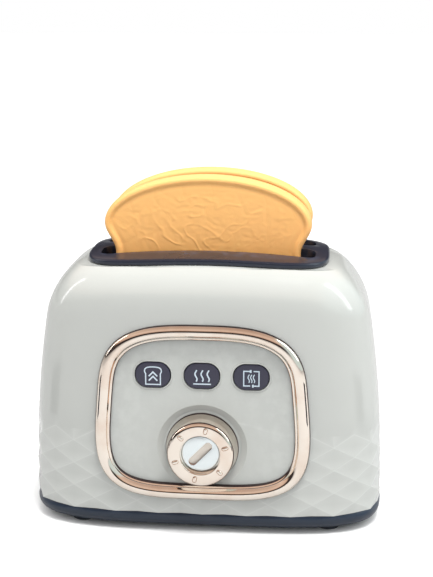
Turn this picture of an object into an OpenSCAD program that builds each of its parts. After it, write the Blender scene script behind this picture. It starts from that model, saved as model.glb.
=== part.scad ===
// Toy pop-up toaster: a wide faceted housing on a dark base, a chromed bezel with a wind-up
// timer knob and three push buttons, and two play slices that a sprung carriage lifts.
// Millimetres. X is the width, the front faces -Y, Z is up from the table.

/* [Housing] */
// Width of the housing over its side walls
body_w = 180; // [172:1:190]
// Depth of the housing over its front and back walls
body_d = 93; // [92:1:100]
// Roundness of the housing's plan: 2 is an ellipse, large is a box
plan_n = 4; // [3.8:0.1:4.6]
// Wall of the moulded housing
wall = 2.4; // [2.2:0.1:2.6]
// Height of the seam between housing and base
seam_z = 10.5; // [10.3:0.1:11]
// How far the side walls lean in at the start of the top rounding
side_lean = 7.5; // [6:0.5:8.5]
// Height at which the side walls start to round over
side_brow_z = 107; // [104:1:110]
// Height at which the front and back walls start to round over
front_brow_z = 116; // [115:1:119]
// Height of the collar's crown above the table
crown_z = 141; // [140.5:0.25:142]

/* [Facets] */
// Facet columns round the housing, in fours
facet_cols = 44; // [36:4:52]
// Height of half a diamond
facet_h = 6; // [5.5:0.1:6.3]
// Depth of a diamond's middle below its ridges
facet_in = 0.55; // [0.2:0.05:0.8]

/* [Collar] */
// Half length of the collar's flange
collar_a = 61; // [60:0.5:63]
// Half depth of the collar's flange
collar_b = 34; // [33.5:0.25:35]
// Thickness of the collar's flange
collar_t = 3; // [2.5:0.1:3.4]
// Length of a bread slot
slot_l = 108; // [107:0.5:110]
// Width of a bread slot
slot_w = 15.6; // [15:0.1:16]
// Land between the two bread slots
slot_land = 9.4; // [9:0.1:10]

/* [Bezel and panel] */
// Widest half width of the bezel, at bezel_wide_z
bezel_a = 53.6; // [52:0.1:54]
// Top of the bezel
bezel_top_z = 109; // [107:0.5:110]
// Bottom of the bezel
bezel_low_z = 18.5; // [18:0.25:20]
// Radial width of the bezel's band
bezel_w = 7.7; // [7.2:0.1:8.2]
// Height of the bezel's crest above the housing's face
bezel_h = 3.5; // [3:0.1:4]
// Depth of the panel's face below the housing's face
panel_sink = 1.5; // [1.2:0.1:1.8]
// Thickness of the control panel
panel_t = 2.6; // [2.4:0.1:2.8]

/* [Buttons] */
// Height of the row of buttons
button_z = 82.7; // [81:0.5:84]
// Distance between neighbouring buttons
button_pitch = 24.2; // [23.6:0.2:25]
// Width of a button's cap
button_w = 17.4; // [16.6:0.2:17.8]
// Height of a button's cap
button_h = 13; // [12:0.2:13.6]
// How far a button travels
button_travel = 1.5; // [1:0.1:1.8]

/* [Knob] */
// Height of the knob's axis
knob_z = 45.3; // [45:0.1:46]
// Radius of the knob at its foot
knob_r = 18.2; // [17.6:0.1:18.4]
// How far the knob stands forward of its foot
knob_l = 11.4; // [10.5:0.1:12.5]
// Radius of the disc in the knob's face
disc_r = 9.2; // [8.6:0.1:9.6]
// Angle of the pointer slot above the horizontal
pointer_deg = 46; // [0:1:90]

/* [Slices] */
// Width of a slice at its widest
toast_w = 104; // [101:0.5:105]
// Width of a slice's straight lower part
toast_neck_w = 93; // [90:0.5:95]
// Thickness of a slice
toast_t = 11.6; // [11:0.2:12]
// Height of a slice
toast_h = 91; // [88:0.5:93]
// Height of a slice's bottom when it stands up
toast_z = 86; // [85:0.25:87]
// Depth of the groove inside a slice's crust
crust_in = 1.2; // [0.8:0.1:1.6]

/* [Carriage] */
// How far the carriage goes down
travel = 44; // [42:0.5:45]
// Radius of a guide rod
rod_r = 2; // [1.8:0.1:2.2]
// Distance of a guide rod from the middle
rod_x = 66; // [66:0.25:67]
// Turns of a carriage spring
spring_turns = 10; // [6:1:12]
// Radius of a carriage spring's wire
wire_r = 0.6; // [0.5:0.05:0.7]

/* [Timer] */
// Gear module
gear_m = 0.7; // [0.69:0.01:0.71]
// Teeth on each big gear
gear_teeth = 36; // [36:1:36]
// Teeth on each pinion
pinion_teeth = 12; // [12:1:12]
// Radius of the timer's spindle
spindle_r = 3; // [2.8:0.1:3.2]
// Radius of a gear arbor
arbor_r = 1.2; // [1:0.1:1.4]

/* [Feet and screws] */
// Radius of a foot
foot_r = 6.5; // [6:0.1:7.5]
// Distance of a foot from the middle, sideways
foot_x = 63; // [60:0.5:65]
// Distance of a foot from the middle, front to back
foot_y = 31; // [29:0.5:32]
// Radius of a screw's shank
screw_r = 1.4; // [1.3:0.05:1.5]

/* [Clearances] */
// Gap between pieces that slide past each other
slide_gap = 0.4; // [0.3:0.05:0.5]
// Gap between fixed pieces that seat on each other
seat_gap = 0.2; // [0.1:0.05:0.3]
// Running gap of a shaft in its bore
run_gap = 0.05; // [0.03:0.01:0.08]
// Gap of a pin or screw that is driven into its hole
press_gap = 0.02; // [0.01:0.01:0.04]

/* [Hidden] */

cream = [0.80, 0.79, 0.74];
navy = [0.16, 0.19, 0.26];
rose = [0.87, 0.68, 0.56];
crust = [0.95, 0.76, 0.46];
white = [0.85, 0.85, 0.83];
steel = [0.70, 0.71, 0.73];
brass = [0.80, 0.66, 0.36];
icon_grey = [0.26, 0.26, 0.32];

half_w = body_w / 2;
half_d = body_d / 2;
eps = 0.01;

// Housing: where the top rounding ends, and the crown's two radii
brow_in_a = collar_a - 1;
brow_in_b = collar_b - 5;
side_top = 6.8;
front_top = 4.6;
crown_rx = 480;
crown_ry = 230;
facet_rows = 7;
band_top = seam_z + facet_rows * facet_h;
rim_out = 1;
rim_in = 2.7;
in_wall = wall + facet_in;
boss_wide_r = 4;
tray_rib_h = 4;
screw_in = 13;
screw_head_r = 2.7;
opening_wall = 2;

// Bezel outline: half width, heights and roundness above and below the widest line
bezel_wide_z = 73.5;
bezel_taper = 0.0017;
bezel_n_top = 3.1;
bezel_n_low = 3.8;
bezel_mid_a = bezel_a * 0.971;
bezel_stations = 56;
bezel_lip = 2.2;
ledge_w = 5;
ledge_t = 2.4;
peg_r = 1.5;
panel_y = panel_sink - half_d;
panel_back = panel_y + panel_t;
ledge_back = panel_back + ledge_t;
dish_r = 22.4;
dish_floor_r = 19.2;
dish_in = 1.2;
button_n = 2.6;
button_proud = 0.9;
rim_w = 0.9;
rim_h = 0.45;
flange_w = 0.8;
flange_t = 1.2;
spring_pin_r = 1.4;
spring_pin_l = 2.2;
bracket_y = panel_back + slide_gap + flange_t + spring_pin_l + button_travel + 2.7;
bracket_t = 1.6;
bracket_screw_r = 1.1;

// Chassis, from the slots outwards
slot_y = slot_land / 2 + slot_w / 2;
well_gap = 0.3;
chassis_wall = 2;
end_wall = 2.8;
divider_t = 1.6;
well_w = slot_w + 2 * well_gap;
well_l = slot_l + 2 * slide_gap;
well_in = slot_y - well_w / 2;
well_out = slot_y + well_w / 2;
chassis_a = well_l / 2 + end_wall;
chassis_b = well_out + chassis_wall;
guide_top = toast_z + seat_gap + 0.2;
chassis_low = 14;
chassis_top = 127.7;
tab_x = 48;
tab_y = chassis_b + 5;
tab_t = 3;
lug_z = 112;
lug_t = 4;
floor_z = 5.5;
base_low = 2.5;
foot_in = 1.2;
screw_seat = base_low + 3.7;

// Carriage
bar_h = 4;
bar_w = 5.6;
pan_l = 100;
pan_w = 13.6;
yoke_t = 2.4;
yoke_x = chassis_a + yoke_t / 2 + slide_gap;
yoke_h = 12;
boss_r = 4.2;
tongue_x = 40.5;
tongue_w = 4;
rod_low = floor_z + 1;
rod_top = lug_z + 6;
spring_seat = 12;
spring_r = rod_r + 1.3;

// Timer layers, stacked forward from the chassis: the lever and three gears share its depth
plate_t = 1.4;
timer_gap = 4.1;
latch_off = 2.1;
timer_room = -chassis_b - panel_back - timer_gap - latch_off;
gear_t = (timer_room - 2 * plate_t - 5 * slide_gap) / 4;
latch_t = gear_t;
latch_y = -chassis_b - latch_off - latch_t;
rear_plate_y = latch_y - slide_gap - plate_t;
wind_y = rear_plate_y - slide_gap - gear_t;
reduce_y = wind_y - slide_gap - gear_t;
drive_y = reduce_y - slide_gap - gear_t;
front_plate_y = drive_y - slide_gap - plate_t;
gear_gap = 0.05;
mesh_c = gear_m * (gear_teeth + pinion_teeth) / 2 + gear_gap;
spindle_at = [0, knob_z];
reduce_at = spindle_at + mesh_c * [cos(210), sin(210)];
escape_at = reduce_at + mesh_c * [cos(300), sin(300)];
pallet_dir = 10;
pallet_at = escape_at + 12 * [cos(pallet_dir), sin(pallet_dir)];
escape_r = 7.2;
plate_low = [-31, 12.5];
plate_high = [17, knob_z + 24.7];
post_in = 3;
post_r = 2.2;
timer_screw_r = 1.2;
posts = [
    plate_low + [post_in, post_in],
    [plate_high.x - post_in, plate_low.y + post_in],
    plate_high - [post_in, post_in],
    [plate_low.x + post_in, plate_high.y - post_in]
];

// Latch: the tail rests on the cam's lobe, the nose swings over the carriage's tongue
lobe_r = 13;
cam_r = 7.6;
tail_r = 1.5;
lobe_dir = 78.3;
tail_at = spindle_at + (lobe_r + slide_gap + tail_r) * [cos(lobe_dir), sin(lobe_dir)];
tongue_low = toast_z - travel;
latch_at = [tongue_x - 7.5, tongue_low + 20];
latch_pin_r = 1.5;
nose_x = tongue_x - tongue_w / 2 - 0.6;
nose_z = tongue_low - 0.2;

// Knob
knob_foot_y = panel_y + dish_in - slide_gap;
knob_face_y = knob_foot_y - knob_l;
disc_sink = 2.3;
disc_t = 2.4;
tick_r0 = 11.5;
tick_r1 = 14.2;
tick_w = 1.3;
tick_h = 0.5;
slot_len = 15;
slot_wid = 4.2;

// Shift that puts the frame's origin in the middle between the knob's face and the back wall
frame_y = -(knob_face_y - tick_h + half_d) / 2;

// Slice outline
toast_top = toast_z + toast_h;
crown_h = 24.4;
swell_h = 14.6;
toast_wide_z = toast_top - crown_h;
toast_neck_z = toast_wide_z - swell_h;
toast_corner = 13;
toast_points = 48;

// ---- shared functions ----

function lerp(a, b, f) = a + (b - a) * f;
function signed_pow(v, e) = sign(v) * pow(abs(v), e);

// Closed plan curve, anticlockwise from its front
function super_plan(a, b, n) = [
    for (i = [-90:269]) [a * signed_pow(cos(i), 2 / n), b * signed_pow(sin(i), 2 / n)]
];

// Running total of a list, one entry longer than the list
function running(d) = [
    for (i = 0, s = 0; i <= len(d); s = s + (i < len(d) ? d[i] : 0), i = i + 1) s
];

// n points at equal distances along a closed curve
function evenly(pts, n) =
    let (
        m = len(pts),
        at = running([for (i = [0:m - 1]) norm(pts[(i + 1) % m] - pts[i])]),
        xs = [for (i = [0:m]) [at[i], pts[i % m].x]],
        ys = [for (i = [0:m]) [at[i], pts[i % m].y]]
    )
    [for (k = [0:n - 1]) [lookup(at[m] * k / n, xs), lookup(at[m] * k / n, ys)]];

// A closed anticlockwise outline moved inwards by d
function inset(pts, d) =
    let (n = len(pts))
    [
        for (i = [0:n - 1])
        let (v = pts[(i + 1) % n] - pts[(i + n - 1) % n])
        pts[i] + d * [-v.y, v.x] / norm(v)
    ];

// Faces between two closed rows of points that start at a and b
function strip(n, a, b) = [
    for (i = [0:n - 1])
    let (j = (i + 1) % n)
    each [[a + i, b + i, b + j], [a + i, b + j, a + j]]
];
function strip_back(n, a, b) = [
    for (i = [0:n - 1])
    let (j = (i + 1) % n)
    each [[a + i, b + i, a + j], [a + j, b + i, b + j]]
];
function facet_strip(n, a, b, odd) = [
    for (i = [0:n - 1])
    let (j = (i + 1) % n)
    each (i + odd) % 2 == 0
        ? [[a + i, b + i, b + j], [a + i, b + j, a + j]]
        : [[a + i, b + i, a + j], [a + j, b + i, b + j]]
];
function widen(n, a, b) = [
    for (i = [0:n - 1])
    let (j = (i + 1) % n, k = (2 * i + 2) % (2 * n))
    each [
        [a + i, b + 2 * i, b + 2 * i + 1],
        [a + i, b + 2 * i + 1, a + j],
        [a + j, b + 2 * i + 1, b + k]
    ]
];
function narrow(n, a, b) = [
    for (i = [0:n - 1])
    let (j = (i + 1) % n, k = (2 * i + 2) % (2 * n))
    each [
        [a + 2 * i, b + i, a + 2 * i + 1],
        [a + 2 * i + 1, b + i, b + j],
        [a + 2 * i + 1, b + j, a + k]
    ]
];
function link(na, a, nb, b) =
    nb == na ? strip(na, a, b) : nb > na ? widen(na, a, b) : narrow(nb, a, b);

// Solid through closed rows of 3D points, closed by a flat face at each end
module capped_loft(rows) {
    at = running([for (r = rows) len(r)]);
    last = len(rows) - 1;
    faces = concat(
        [for (k = [0:last - 1]) each link(len(rows[k]), at[k], len(rows[k + 1]), at[k + 1])],
        [[for (i = [0:len(rows[0]) - 1]) i]],
        [[for (i = [len(rows[last]) - 1:-1:0]) at[last] + i]]
    );
    polyhedron(points = [for (r = rows) each r], faces = faces, convexity = 8);
}

// Ring-shaped solid through closed rows, the last joined to the first
module closed_loft(rows, facet_rows = 0) {
    n = len(rows);
    at = running([for (r = rows) len(r)]);
    faces = [
        for (k = [0:n - 1])
        let (m = (k + 1) % n)
        each k < facet_rows
            ? facet_strip(len(rows[k]), at[k], at[m], k % 2)
            : link(len(rows[k]), at[k], len(rows[m]), at[m])
    ];
    polyhedron(points = [for (r = rows) each r], faces = faces, convexity = 8);
}

// Extrudes a drawing of x and z from y0 back to y1
module along_y(y0, y1) {
    translate([0, y1, 0])
        rotate([90, 0, 0])
            linear_extrude(y1 - y0) children();
}

module rod_y(at, r, y0, y1, sides = 48) {
    translate([at.x, y1, at.y])
        rotate([90, 0, 0])
            cylinder(r = r, h = y1 - y0, $fn = sides);
}

module rod_z(x, y, r, z0, z1, sides = 48) {
    translate([x, y, z0])
        cylinder(r = r, h = z1 - z0, $fn = sides);
}

module block(lo, hi) {
    translate(lo) cube(hi - lo);
}

// Flat bar with round ends from p to q
module bar_2d(p, q, w) {
    d = q - p;
    translate(p) circle(d = w, $fn = 32);
    translate(q) circle(d = w, $fn = 32);
    translate(p) rotate(atan2(d.y, d.x)) translate([0, -w / 2]) square([norm(d), w]);
}

module round_box_2d(lo, hi, r) {
    translate([lo.x + r, lo.y]) square([hi.x - lo.x - 2 * r, hi.y - lo.y]);
    translate([lo.x, lo.y + r]) square([hi.x - lo.x, hi.y - lo.y - 2 * r]);
    for (x = [lo.x + r, hi.x - r]) {
        for (y = [lo.y + r, hi.y - r]) translate([x, y]) circle(r = r, $fn = 32);
    }
}

module four_ways(x, y) {
    for (sx = [-1, 1]) {
        for (sy = [-1, 1]) translate([sx * x, sy * y, 0]) children();
    }
}

module placed() {
    translate([0, frame_y, 0]) children();
}

// Round wire wound along z, 8 rings a turn and 6 sides
module coil(r, wire, turns, z0, z1) {
    sides = 6;
    rings = 8 * turns;
    rise = (z1 - z0 - 2 * wire) / rings;
    slope = atan2(rise * 8, 2 * PI * r);
    points = [
        for (k = [0:rings])
        let (
            a = 45 * k,
            out = [cos(a), sin(a), 0],
            up = [sin(a) * sin(slope), -cos(a) * sin(slope), cos(slope)]
        )
        for (s = [0:sides - 1])
        r * out + [0, 0, z0 + wire + rise * k] + wire * (cos(60 * s) * out + sin(60 * s) * up)
    ];
    faces = concat(
        [for (k = [0:rings - 1]) each strip_back(sides, sides * k, sides * (k + 1))],
        [[for (s = [0:sides - 1]) s]],
        [[for (s = [sides - 1:-1:0]) sides * rings + s]]
    );
    polyhedron(points = points, faces = faces, convexity = 10);
}

// ---- housing surface ----

unit = [
    for (p = evenly(super_plan(half_w, half_d, plan_n), 2 * facet_cols)) [p.x / half_w, p.y / half_d]
];
unit_coarse = [for (i = [0:facet_cols - 1]) unit[2 * i]];

function side_x(z) =
    half_w - side_lean * pow(max(0, z - seam_z) / (side_brow_z - seam_z), 2.2);
function wall_at(u, z, t) = [u.x * (side_x(z) - t), u.y * (half_d - t), z];
function frontness(u) = pow(abs(u.y), 4);
function brow_z(u) = lerp(side_brow_z, front_brow_z, frontness(u));
function brow_at(u, f, t) =
    let (
        top = crown_z - t - lerp(side_top, front_top, frontness(u)),
        z = lerp(brow_z(u), top, sin(f))
    )
    [
        u.x * lerp(brow_in_a - t, side_x(z) - t, cos(f)),
        u.y * lerp(brow_in_b - t, half_d - t, cos(f)),
        z
    ];
function crown_at(x, y, drop) =
    [x, y, crown_z - drop - x * x / (2 * crown_rx) - y * y / (2 * crown_ry)];
function facet_row(k) = [
    for (i = [0:facet_cols - 1])
    wall_at(unit_coarse[i], seam_z + k * facet_h, (i + k) % 2 == 1 && k < facet_rows ? facet_in : 0)
];
function front_y(x) = -half_d * pow(1 - pow(abs(x) / half_w, plan_n), 1 / plan_n);

shell_rows = concat(
    [for (k = [0:facet_rows]) facet_row(k)],
    [for (f = [1 / 3, 2 / 3]) [for (u = unit) wall_at(u, lerp(band_top, brow_z(u), f), 0)]],
    [for (f = [0, 18, 36, 52, 66]) [for (u = unit) brow_at(u, f, 0)]],
    [
        for (s = [[rim_out, 0], [-rim_in, 0], [-rim_in, wall]])
        [
            for (u = unit)
            crown_at(u.x * (collar_a + s[0]), u.y * (collar_b + s[0]), collar_t + seat_gap + s[1])
        ]
    ],
    [for (f = [62, 36, 0]) [for (u = unit_coarse) brow_at(u, f, wall)]],
    [for (z = [band_top, seam_z]) [for (u = unit_coarse) wall_at(u, z, in_wall)]]
);

bezel_curve = [
    for (i = [-90:269])
    let (
        up = sin(i) >= 0,
        n = up ? bezel_n_top : bezel_n_low,
        h = up ? bezel_top_z - bezel_wide_z : bezel_wide_z - bezel_low_z,
        dz = h * signed_pow(sin(i), 2 / n)
    )
    [bezel_mid_a * (1 - bezel_taper * dz) * signed_pow(cos(i), 2 / n), bezel_wide_z + dz]
];
bezel_line = evenly(bezel_curve, bezel_stations);

module body_shell() {
    boss_low = seam_z + 0.5;
    boss_top = 40;
    rib_low = seam_z + tray_rib_h + seat_gap;
    rib_top = 34;
    rib_t = 1.6;
    rib_y = -front_y(foot_x) - in_wall / 2;
    color(cream)
        difference() {
            union() {
                closed_loft(shell_rows, facet_rows);
                along_y(-half_d + wall, ledge_back) polygon(inset(bezel_line, bezel_lip - opening_wall));
                four_ways(foot_x, foot_y) rod_z(0, 0, boss_wide_r, boss_low, boss_top);
                for (x = [-foot_x, foot_x]) {
                    block([x - rib_t / 2, foot_y, rib_low], [x + rib_t / 2, rib_y, rib_top]);
                    block([x - rib_t / 2, -rib_y, rib_low], [x + rib_t / 2, -foot_y, rib_top]);
                }
            }
            along_y(-half_d - 5, panel_back) polygon(inset(bezel_line, bezel_lip));
            along_y(panel_back - 1, ledge_back + 1) polygon(inset(bezel_line, bezel_lip + ledge_w));
            four_ways(foot_x, foot_y) rod_z(0, 0, screw_r + press_gap, seam_z, seam_z + screw_in + 2);
            for (p = peg_at) rod_y(p, peg_r + seat_gap, panel_back - 1, ledge_back + 1, 32);
        }
}

peg_line = inset(bezel_line, bezel_lip + 0.5 * ledge_w);
peg_at = [for (i = [8, 20, 36, 48]) peg_line[i]];

function base_row(z, t) = [for (u = unit) wall_at(u, z, t)];

module base_tray() {
    rib_gap = 0.3;
    rib_t = 1.8;
    rib_a = half_w - in_wall - rib_gap;
    rib_b = half_d - in_wall - rib_gap;
    color(navy)
        difference() {
            union() {
                capped_loft([
                    base_row(base_low, 6.5),
                    base_row(base_low + 0.4, 4.4),
                    base_row(base_low + 1.8, 2),
                    base_row(base_low + 4, 0.6),
                    base_row(base_low + 6, 0),
                    [for (p = facet_row(0)) [p.x, p.y, seam_z - seat_gap]]
                ]);
                translate([0, 0, floor_z])
                    linear_extrude(seam_z + tray_rib_h - floor_z)
                        polygon(evenly(super_plan(rib_a, rib_b, plan_n), 64));
            }
            translate([0, 0, floor_z])
                linear_extrude(20)
                    polygon(evenly(super_plan(rib_a - rib_t, rib_b - rib_t, plan_n), 64));
            base_holes();
        }
    color(navy)
        difference() {
            union() {
                four_ways(foot_x, foot_y) rod_z(0, 0, boss_wide_r, floor_z - 1, seam_z + 0.3);
                four_ways(tab_x, tab_y) rod_z(0, 0, boss_wide_r - 0.5, floor_z - 1, chassis_low);
                for (s = [-1, 1]) rod_z(s * rod_x, 0, boss_wide_r, floor_z - 1, spring_seat);
            }
            base_holes();
        }
}

// Recesses for the feet, counterbored screw holes, and sockets for screws and rods
module base_holes() {
    four_ways(foot_x, foot_y) {
        rod_z(0, 0, foot_r + seat_gap, base_low - 1, base_low + foot_in);
        rod_z(0, 0, screw_head_r + 0.3, base_low, screw_seat);
        rod_z(0, 0, screw_r + seat_gap, base_low, seam_z + 1);
    }
    four_ways(tab_x, tab_y) rod_z(0, 0, screw_r + press_gap, floor_z + 1.5, chassis_low + 1);
    for (s = [-1, 1]) rod_z(s * rod_x, 0, rod_r + press_gap, rod_low, spring_seat + 1);
}

module feet() {
    h = base_low + foot_in - seat_gap;
    color(navy)
        four_ways(foot_x, foot_y)
            rotate_extrude($fn = 48)
                polygon([
                    [0, 0], [foot_r - 1.6, 0], [foot_r - 0.8, 0.3], [foot_r - 0.3, 1], [foot_r, h], [0, h]
                ]);
}

module slots_2d(l, w, r) {
    for (s = [-1, 1]) round_box_2d([-l / 2, s * slot_y - w / 2], [l / 2, s * slot_y + w / 2], r);
}

module top_collar() {
    n = 2 * facet_cols;
    corner = 5;
    tube_t = 1.6;
    tube_low = chassis_top + seat_gap;
    skirt_low = crown_z - 11;
    skirt_gap = 0.3;
    under = crown_z - collar_t - 2.2;
    skirt_a = collar_a - rim_in - skirt_gap;
    skirt_b = collar_b - rim_in - skirt_gap;
    tube_l = slot_l + 2 * tube_t;
    tube_w = slot_w + 2 * tube_t;
    row = function (s, drop) [
        for (u = unit) crown_at(u.x * (collar_a - s), u.y * (collar_b - s), drop)
    ];
    small = [for (u = unit_coarse) crown_at(u.x * collar_a * 0.5, u.y * collar_b * 0.5, 0)];
    small_low = [for (u = unit_coarse) crown_at(u.x * collar_a * 0.5, u.y * collar_b * 0.5, collar_t)];
    color(navy)
        difference() {
            union() {
                fan_loft([
                    small_low, row(0.8, collar_t), row(0, collar_t - 0.8), row(0, 1),
                    row(0.5, 0.35), row(1.5, 0), small
                ], [0, 0, crown_z - collar_t], [0, 0, crown_z]);
                difference() {
                    translate([0, 0, skirt_low])
                        linear_extrude(under - skirt_low)
                            polygon(evenly(super_plan(skirt_a, skirt_b, plan_n), 64));
                    translate([0, 0, skirt_low - 1])
                        linear_extrude(under - skirt_low + 2)
                            polygon(evenly(super_plan(skirt_a - tube_t, skirt_b - tube_t, plan_n), 64));
                }
                translate([0, 0, tube_low])
                    linear_extrude(under - tube_low) slots_2d(tube_l, tube_w, corner);
            }
            translate([0, 0, tube_low - 1])
                linear_extrude(30) slots_2d(slot_l, slot_w, corner);
        }
}

// Solid through closed rows, closed by a fan to a point at each end
module fan_loft(rows, first_tip, last_tip) {
    at = running([for (r = rows) len(r)]);
    last = len(rows) - 1;
    total = at[last + 1];
    n0 = len(rows[0]);
    n1 = len(rows[last]);
    points = concat([for (r = rows) each r], [first_tip, last_tip]);
    faces = concat(
        [for (k = [0:last - 1]) each link(len(rows[k]), at[k], len(rows[k + 1]), at[k + 1])],
        [for (i = [0:n0 - 1]) [i, (i + 1) % n0, total]],
        [for (i = [0:n1 - 1]) [at[last] + (i + 1) % n1, at[last] + i, total + 1]]
    );
    polyhedron(points = points, faces = faces, convexity = 8);
}

// ---- bezel, panel, buttons ----

// Bezel section: distance in from the outer edge, height above the housing's face
bezel_section = [
    [0, 0.1], [0, 1], [0.7, 2.2], [2, 3.2], [3.6, 3.5], [5, 3.05], [6.2, 1.9], [6.7, 1.5],
    [7.4, 1.1], [7.7, 0.5]
];

module bezel_ring() {
    scale_w = bezel_w / 7.7;
    scale_h = bezel_h / 3.5;
    front = [
        for (s = bezel_section)
        [for (p = inset(bezel_line, s[0] * scale_w)) [p.x, front_y(p.x) - s[1] * scale_h, p.y]]
    ];
    back = [
        [for (p = inset(bezel_line, bezel_w)) [p.x, panel_y, p.y]],
        [for (p = inset(bezel_line, bezel_lip + seat_gap)) [p.x, panel_y, p.y]],
        [for (p = inset(bezel_line, bezel_lip + seat_gap)) [p.x, front_y(p.x) - 0.1, p.y]]
    ];
    color(rose) closed_loft(concat(front, back));
}

function button_outline(more) =
    evenly(super_plan(button_w / 2 + more, button_h / 2 + more, button_n), 40);

module button_shape(more) {
    translate([0, button_z]) polygon(button_outline(more));
}

module control_panel() {
    color(cream)
        difference() {
            union() {
                along_y(panel_y, panel_back) polygon(inset(bezel_line, bezel_lip + seat_gap));
                for (s = [-1:1]) {
                    translate([s * button_pitch, 0, 0])
                        along_y(panel_y - rim_h, panel_y + 1) button_shape(slide_gap + rim_w);
                }
                for (s = [-0.5, 0.5]) rod_y([s * button_pitch, button_z], 2, panel_back - 1, bracket_y);
                for (p = peg_at) rod_y(p, peg_r, panel_back - 1, ledge_back + 0.8, 32);
            }
            for (s = [-1:1]) {
                translate([s * button_pitch, 0, 0])
                    along_y(panel_y - 2, panel_back + 1) button_shape(slide_gap);
            }
            for (s = [-0.5, 0.5]) {
                at = [s * button_pitch, button_z];
                rod_y(at, bracket_screw_r + press_gap, panel_back, bracket_y + 1, 32);
            }
            translate([0, panel_y - eps, knob_z])
                rotate([-90, 0, 0])
                    cylinder(r1 = dish_r, r2 = dish_floor_r, h = dish_in + eps, $fn = 96);
            rod_y(spindle_at, spindle_r + slide_gap, panel_y, panel_back + 1);
        }
}

module one_button(s) {
    flange_y = panel_back + slide_gap;
    edge = 0.4;
    color(icon_grey)
        translate([s * button_pitch, 0, 0]) {
            along_y(panel_y - button_proud + edge, flange_y + flange_t / 2) button_shape(0);
            along_y(panel_y - button_proud, panel_y) button_shape(-edge);
            along_y(flange_y, flange_y + flange_t) button_shape(flange_w);
            rod_y([0, button_z], spring_pin_r, flange_y, flange_y + flange_t + spring_pin_l);
        }
}

module button_left() {
    one_button(-1);
}

module button_middle() {
    one_button(0);
}

module button_right() {
    one_button(1);
}

module one_button_spring(s) {
    wire = 0.35;
    low = panel_back + slide_gap + flange_t + seat_gap / 2;
    color(steel)
        translate([s * button_pitch, 0, button_z])
            rotate([-90, 0, 0])
                coil(spring_pin_r + wire + slide_gap, wire, 4, low, bracket_y - seat_gap / 2);
}

module button_spring_left() {
    one_button_spring(-1);
}

module button_spring_middle() {
    one_button_spring(0);
}

module button_spring_right() {
    one_button_spring(1);
}

module button_bracket() {
    half_h = 6;
    half_l = button_pitch + half_h;
    back = bracket_y + bracket_t;
    color(white)
        difference() {
            union() {
                along_y(bracket_y, back)
                    round_box_2d([-half_l, button_z - half_h], [half_l, button_z + half_h], half_h / 2);
                for (s = [-1:1]) {
                    rod_y([s * button_pitch, button_z], spring_pin_r, bracket_y - spring_pin_l / 2, back);
                }
            }
            for (s = [-0.5, 0.5]) {
                rod_y([s * button_pitch, button_z], bracket_screw_r + 0.1, bracket_y - 1, bracket_y + 3, 32);
            }
        }
}

module bracket_screws() {
    color(steel)
        for (s = [-0.5, 0.5]) {
            rod_y([s * button_pitch, button_z], bracket_screw_r, bracket_y - 6, bracket_y + 2, 32);
            rod_y([s * button_pitch, button_z], 2.1, bracket_y + bracket_t, bracket_y + bracket_t + 1.4, 32);
        }
}

// ---- knob ----

// Turns a section of radius against distance forward of the knob's foot
module knob_turn(y) {
    translate([0, y, knob_z])
        rotate([90, 0, 0])
            rotate_extrude($fn = 96) children();
}

module knob() {
    l = knob_l;
    web = l - disc_sink - disc_t;
    bore_r = spindle_r + press_gap;
    hub_r = spindle_r + 1.8;
    pocket_r = disc_r + 0.1;
    color(rose) {
        knob_turn(knob_foot_y)
            polygon([
                [bore_r, 0.6], [hub_r, 0.6], [hub_r, web - 2.2], [knob_r - 3.2, web - 2.2],
                [knob_r - 1.9, 0], [knob_r, 0], [knob_r, 1.2], [knob_r - 0.4, 2.2],
                [knob_r - 1.5, l - 2.1], [knob_r - 2, l - 0.9], [knob_r - 2.8, l - 0.2],
                [knob_r - 3.4, l], [pocket_r + 0.9, l], [pocket_r, l - disc_sink],
                [pocket_r, web], [bore_r, web]
            ]);
        for (i = [0:5]) {
            translate([0, 0, knob_z])
                rotate([0, 60 * i + 12, 0])
                    along_y(knob_face_y - tick_h, knob_face_y + tick_h)
                        bar_2d([0, tick_r0], [0, tick_r1], tick_w);
        }
    }
}

module knob_disc() {
    y = knob_face_y + disc_sink;
    color(steel)
        difference() {
            rod_y(spindle_at, disc_r, y, y + disc_t, 96);
            along_y(y - 1, y + 1.6)
                translate([0, knob_z])
                    rotate(pointer_deg)
                        bar_2d([-(slot_len - slot_wid) / 2, 0], [(slot_len - slot_wid) / 2, 0], slot_wid);
        }
}

module timer_spindle() {
    color(steel)
        rod_y(spindle_at, spindle_r, knob_face_y + disc_sink + disc_t + 0.2, latch_y + latch_t + 0.2);
}

// ---- timer ----

function tan_less_arc(a) = tan(a) * 180 / PI - a;
pressure = 25;

// Half angle that a tooth covers at radius r
function tooth_half(z, r) =
    let (
        pitch_r = gear_m * z / 2,
        base_r = pitch_r * cos(pressure),
        a = r > base_r ? acos(base_r / r) : 0,
        backlash = 0.09 * 180 / PI / pitch_r
    )
    90 / z - backlash + tan_less_arc(pressure) - tan_less_arc(a);

module gear_2d(z, turn) {
    pitch_r = gear_m * z / 2;
    root = pitch_r - 1.25 * gear_m;
    tip = pitch_r + 0.9 * gear_m;
    radii = [root, pitch_r - 0.4 * gear_m, pitch_r, pitch_r + 0.5 * gear_m, tip];
    polygon([
        for (i = [0:z - 1])
        each concat(
            [for (r = radii) let (a = turn + 360 * i / z - tooth_half(z, r)) r * [cos(a), sin(a)]],
            [
                for (k = [len(radii) - 1:-1:0])
                let (r = radii[k], a = turn + 360 * i / z + tooth_half(z, r))
                r * [cos(a), sin(a)]
            ]
        )
    ]);
}

module gear(at, z, turn, y) {
    along_y(y, y + gear_t) translate(at) gear_2d(z, turn);
}

module drive_gear() {
    color(brass)
        difference() {
            gear(spindle_at, gear_teeth, 0, drive_y);
            rod_y(spindle_at, spindle_r + press_gap, drive_y - 1, drive_y + gear_t + 1);
        }
}

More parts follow.
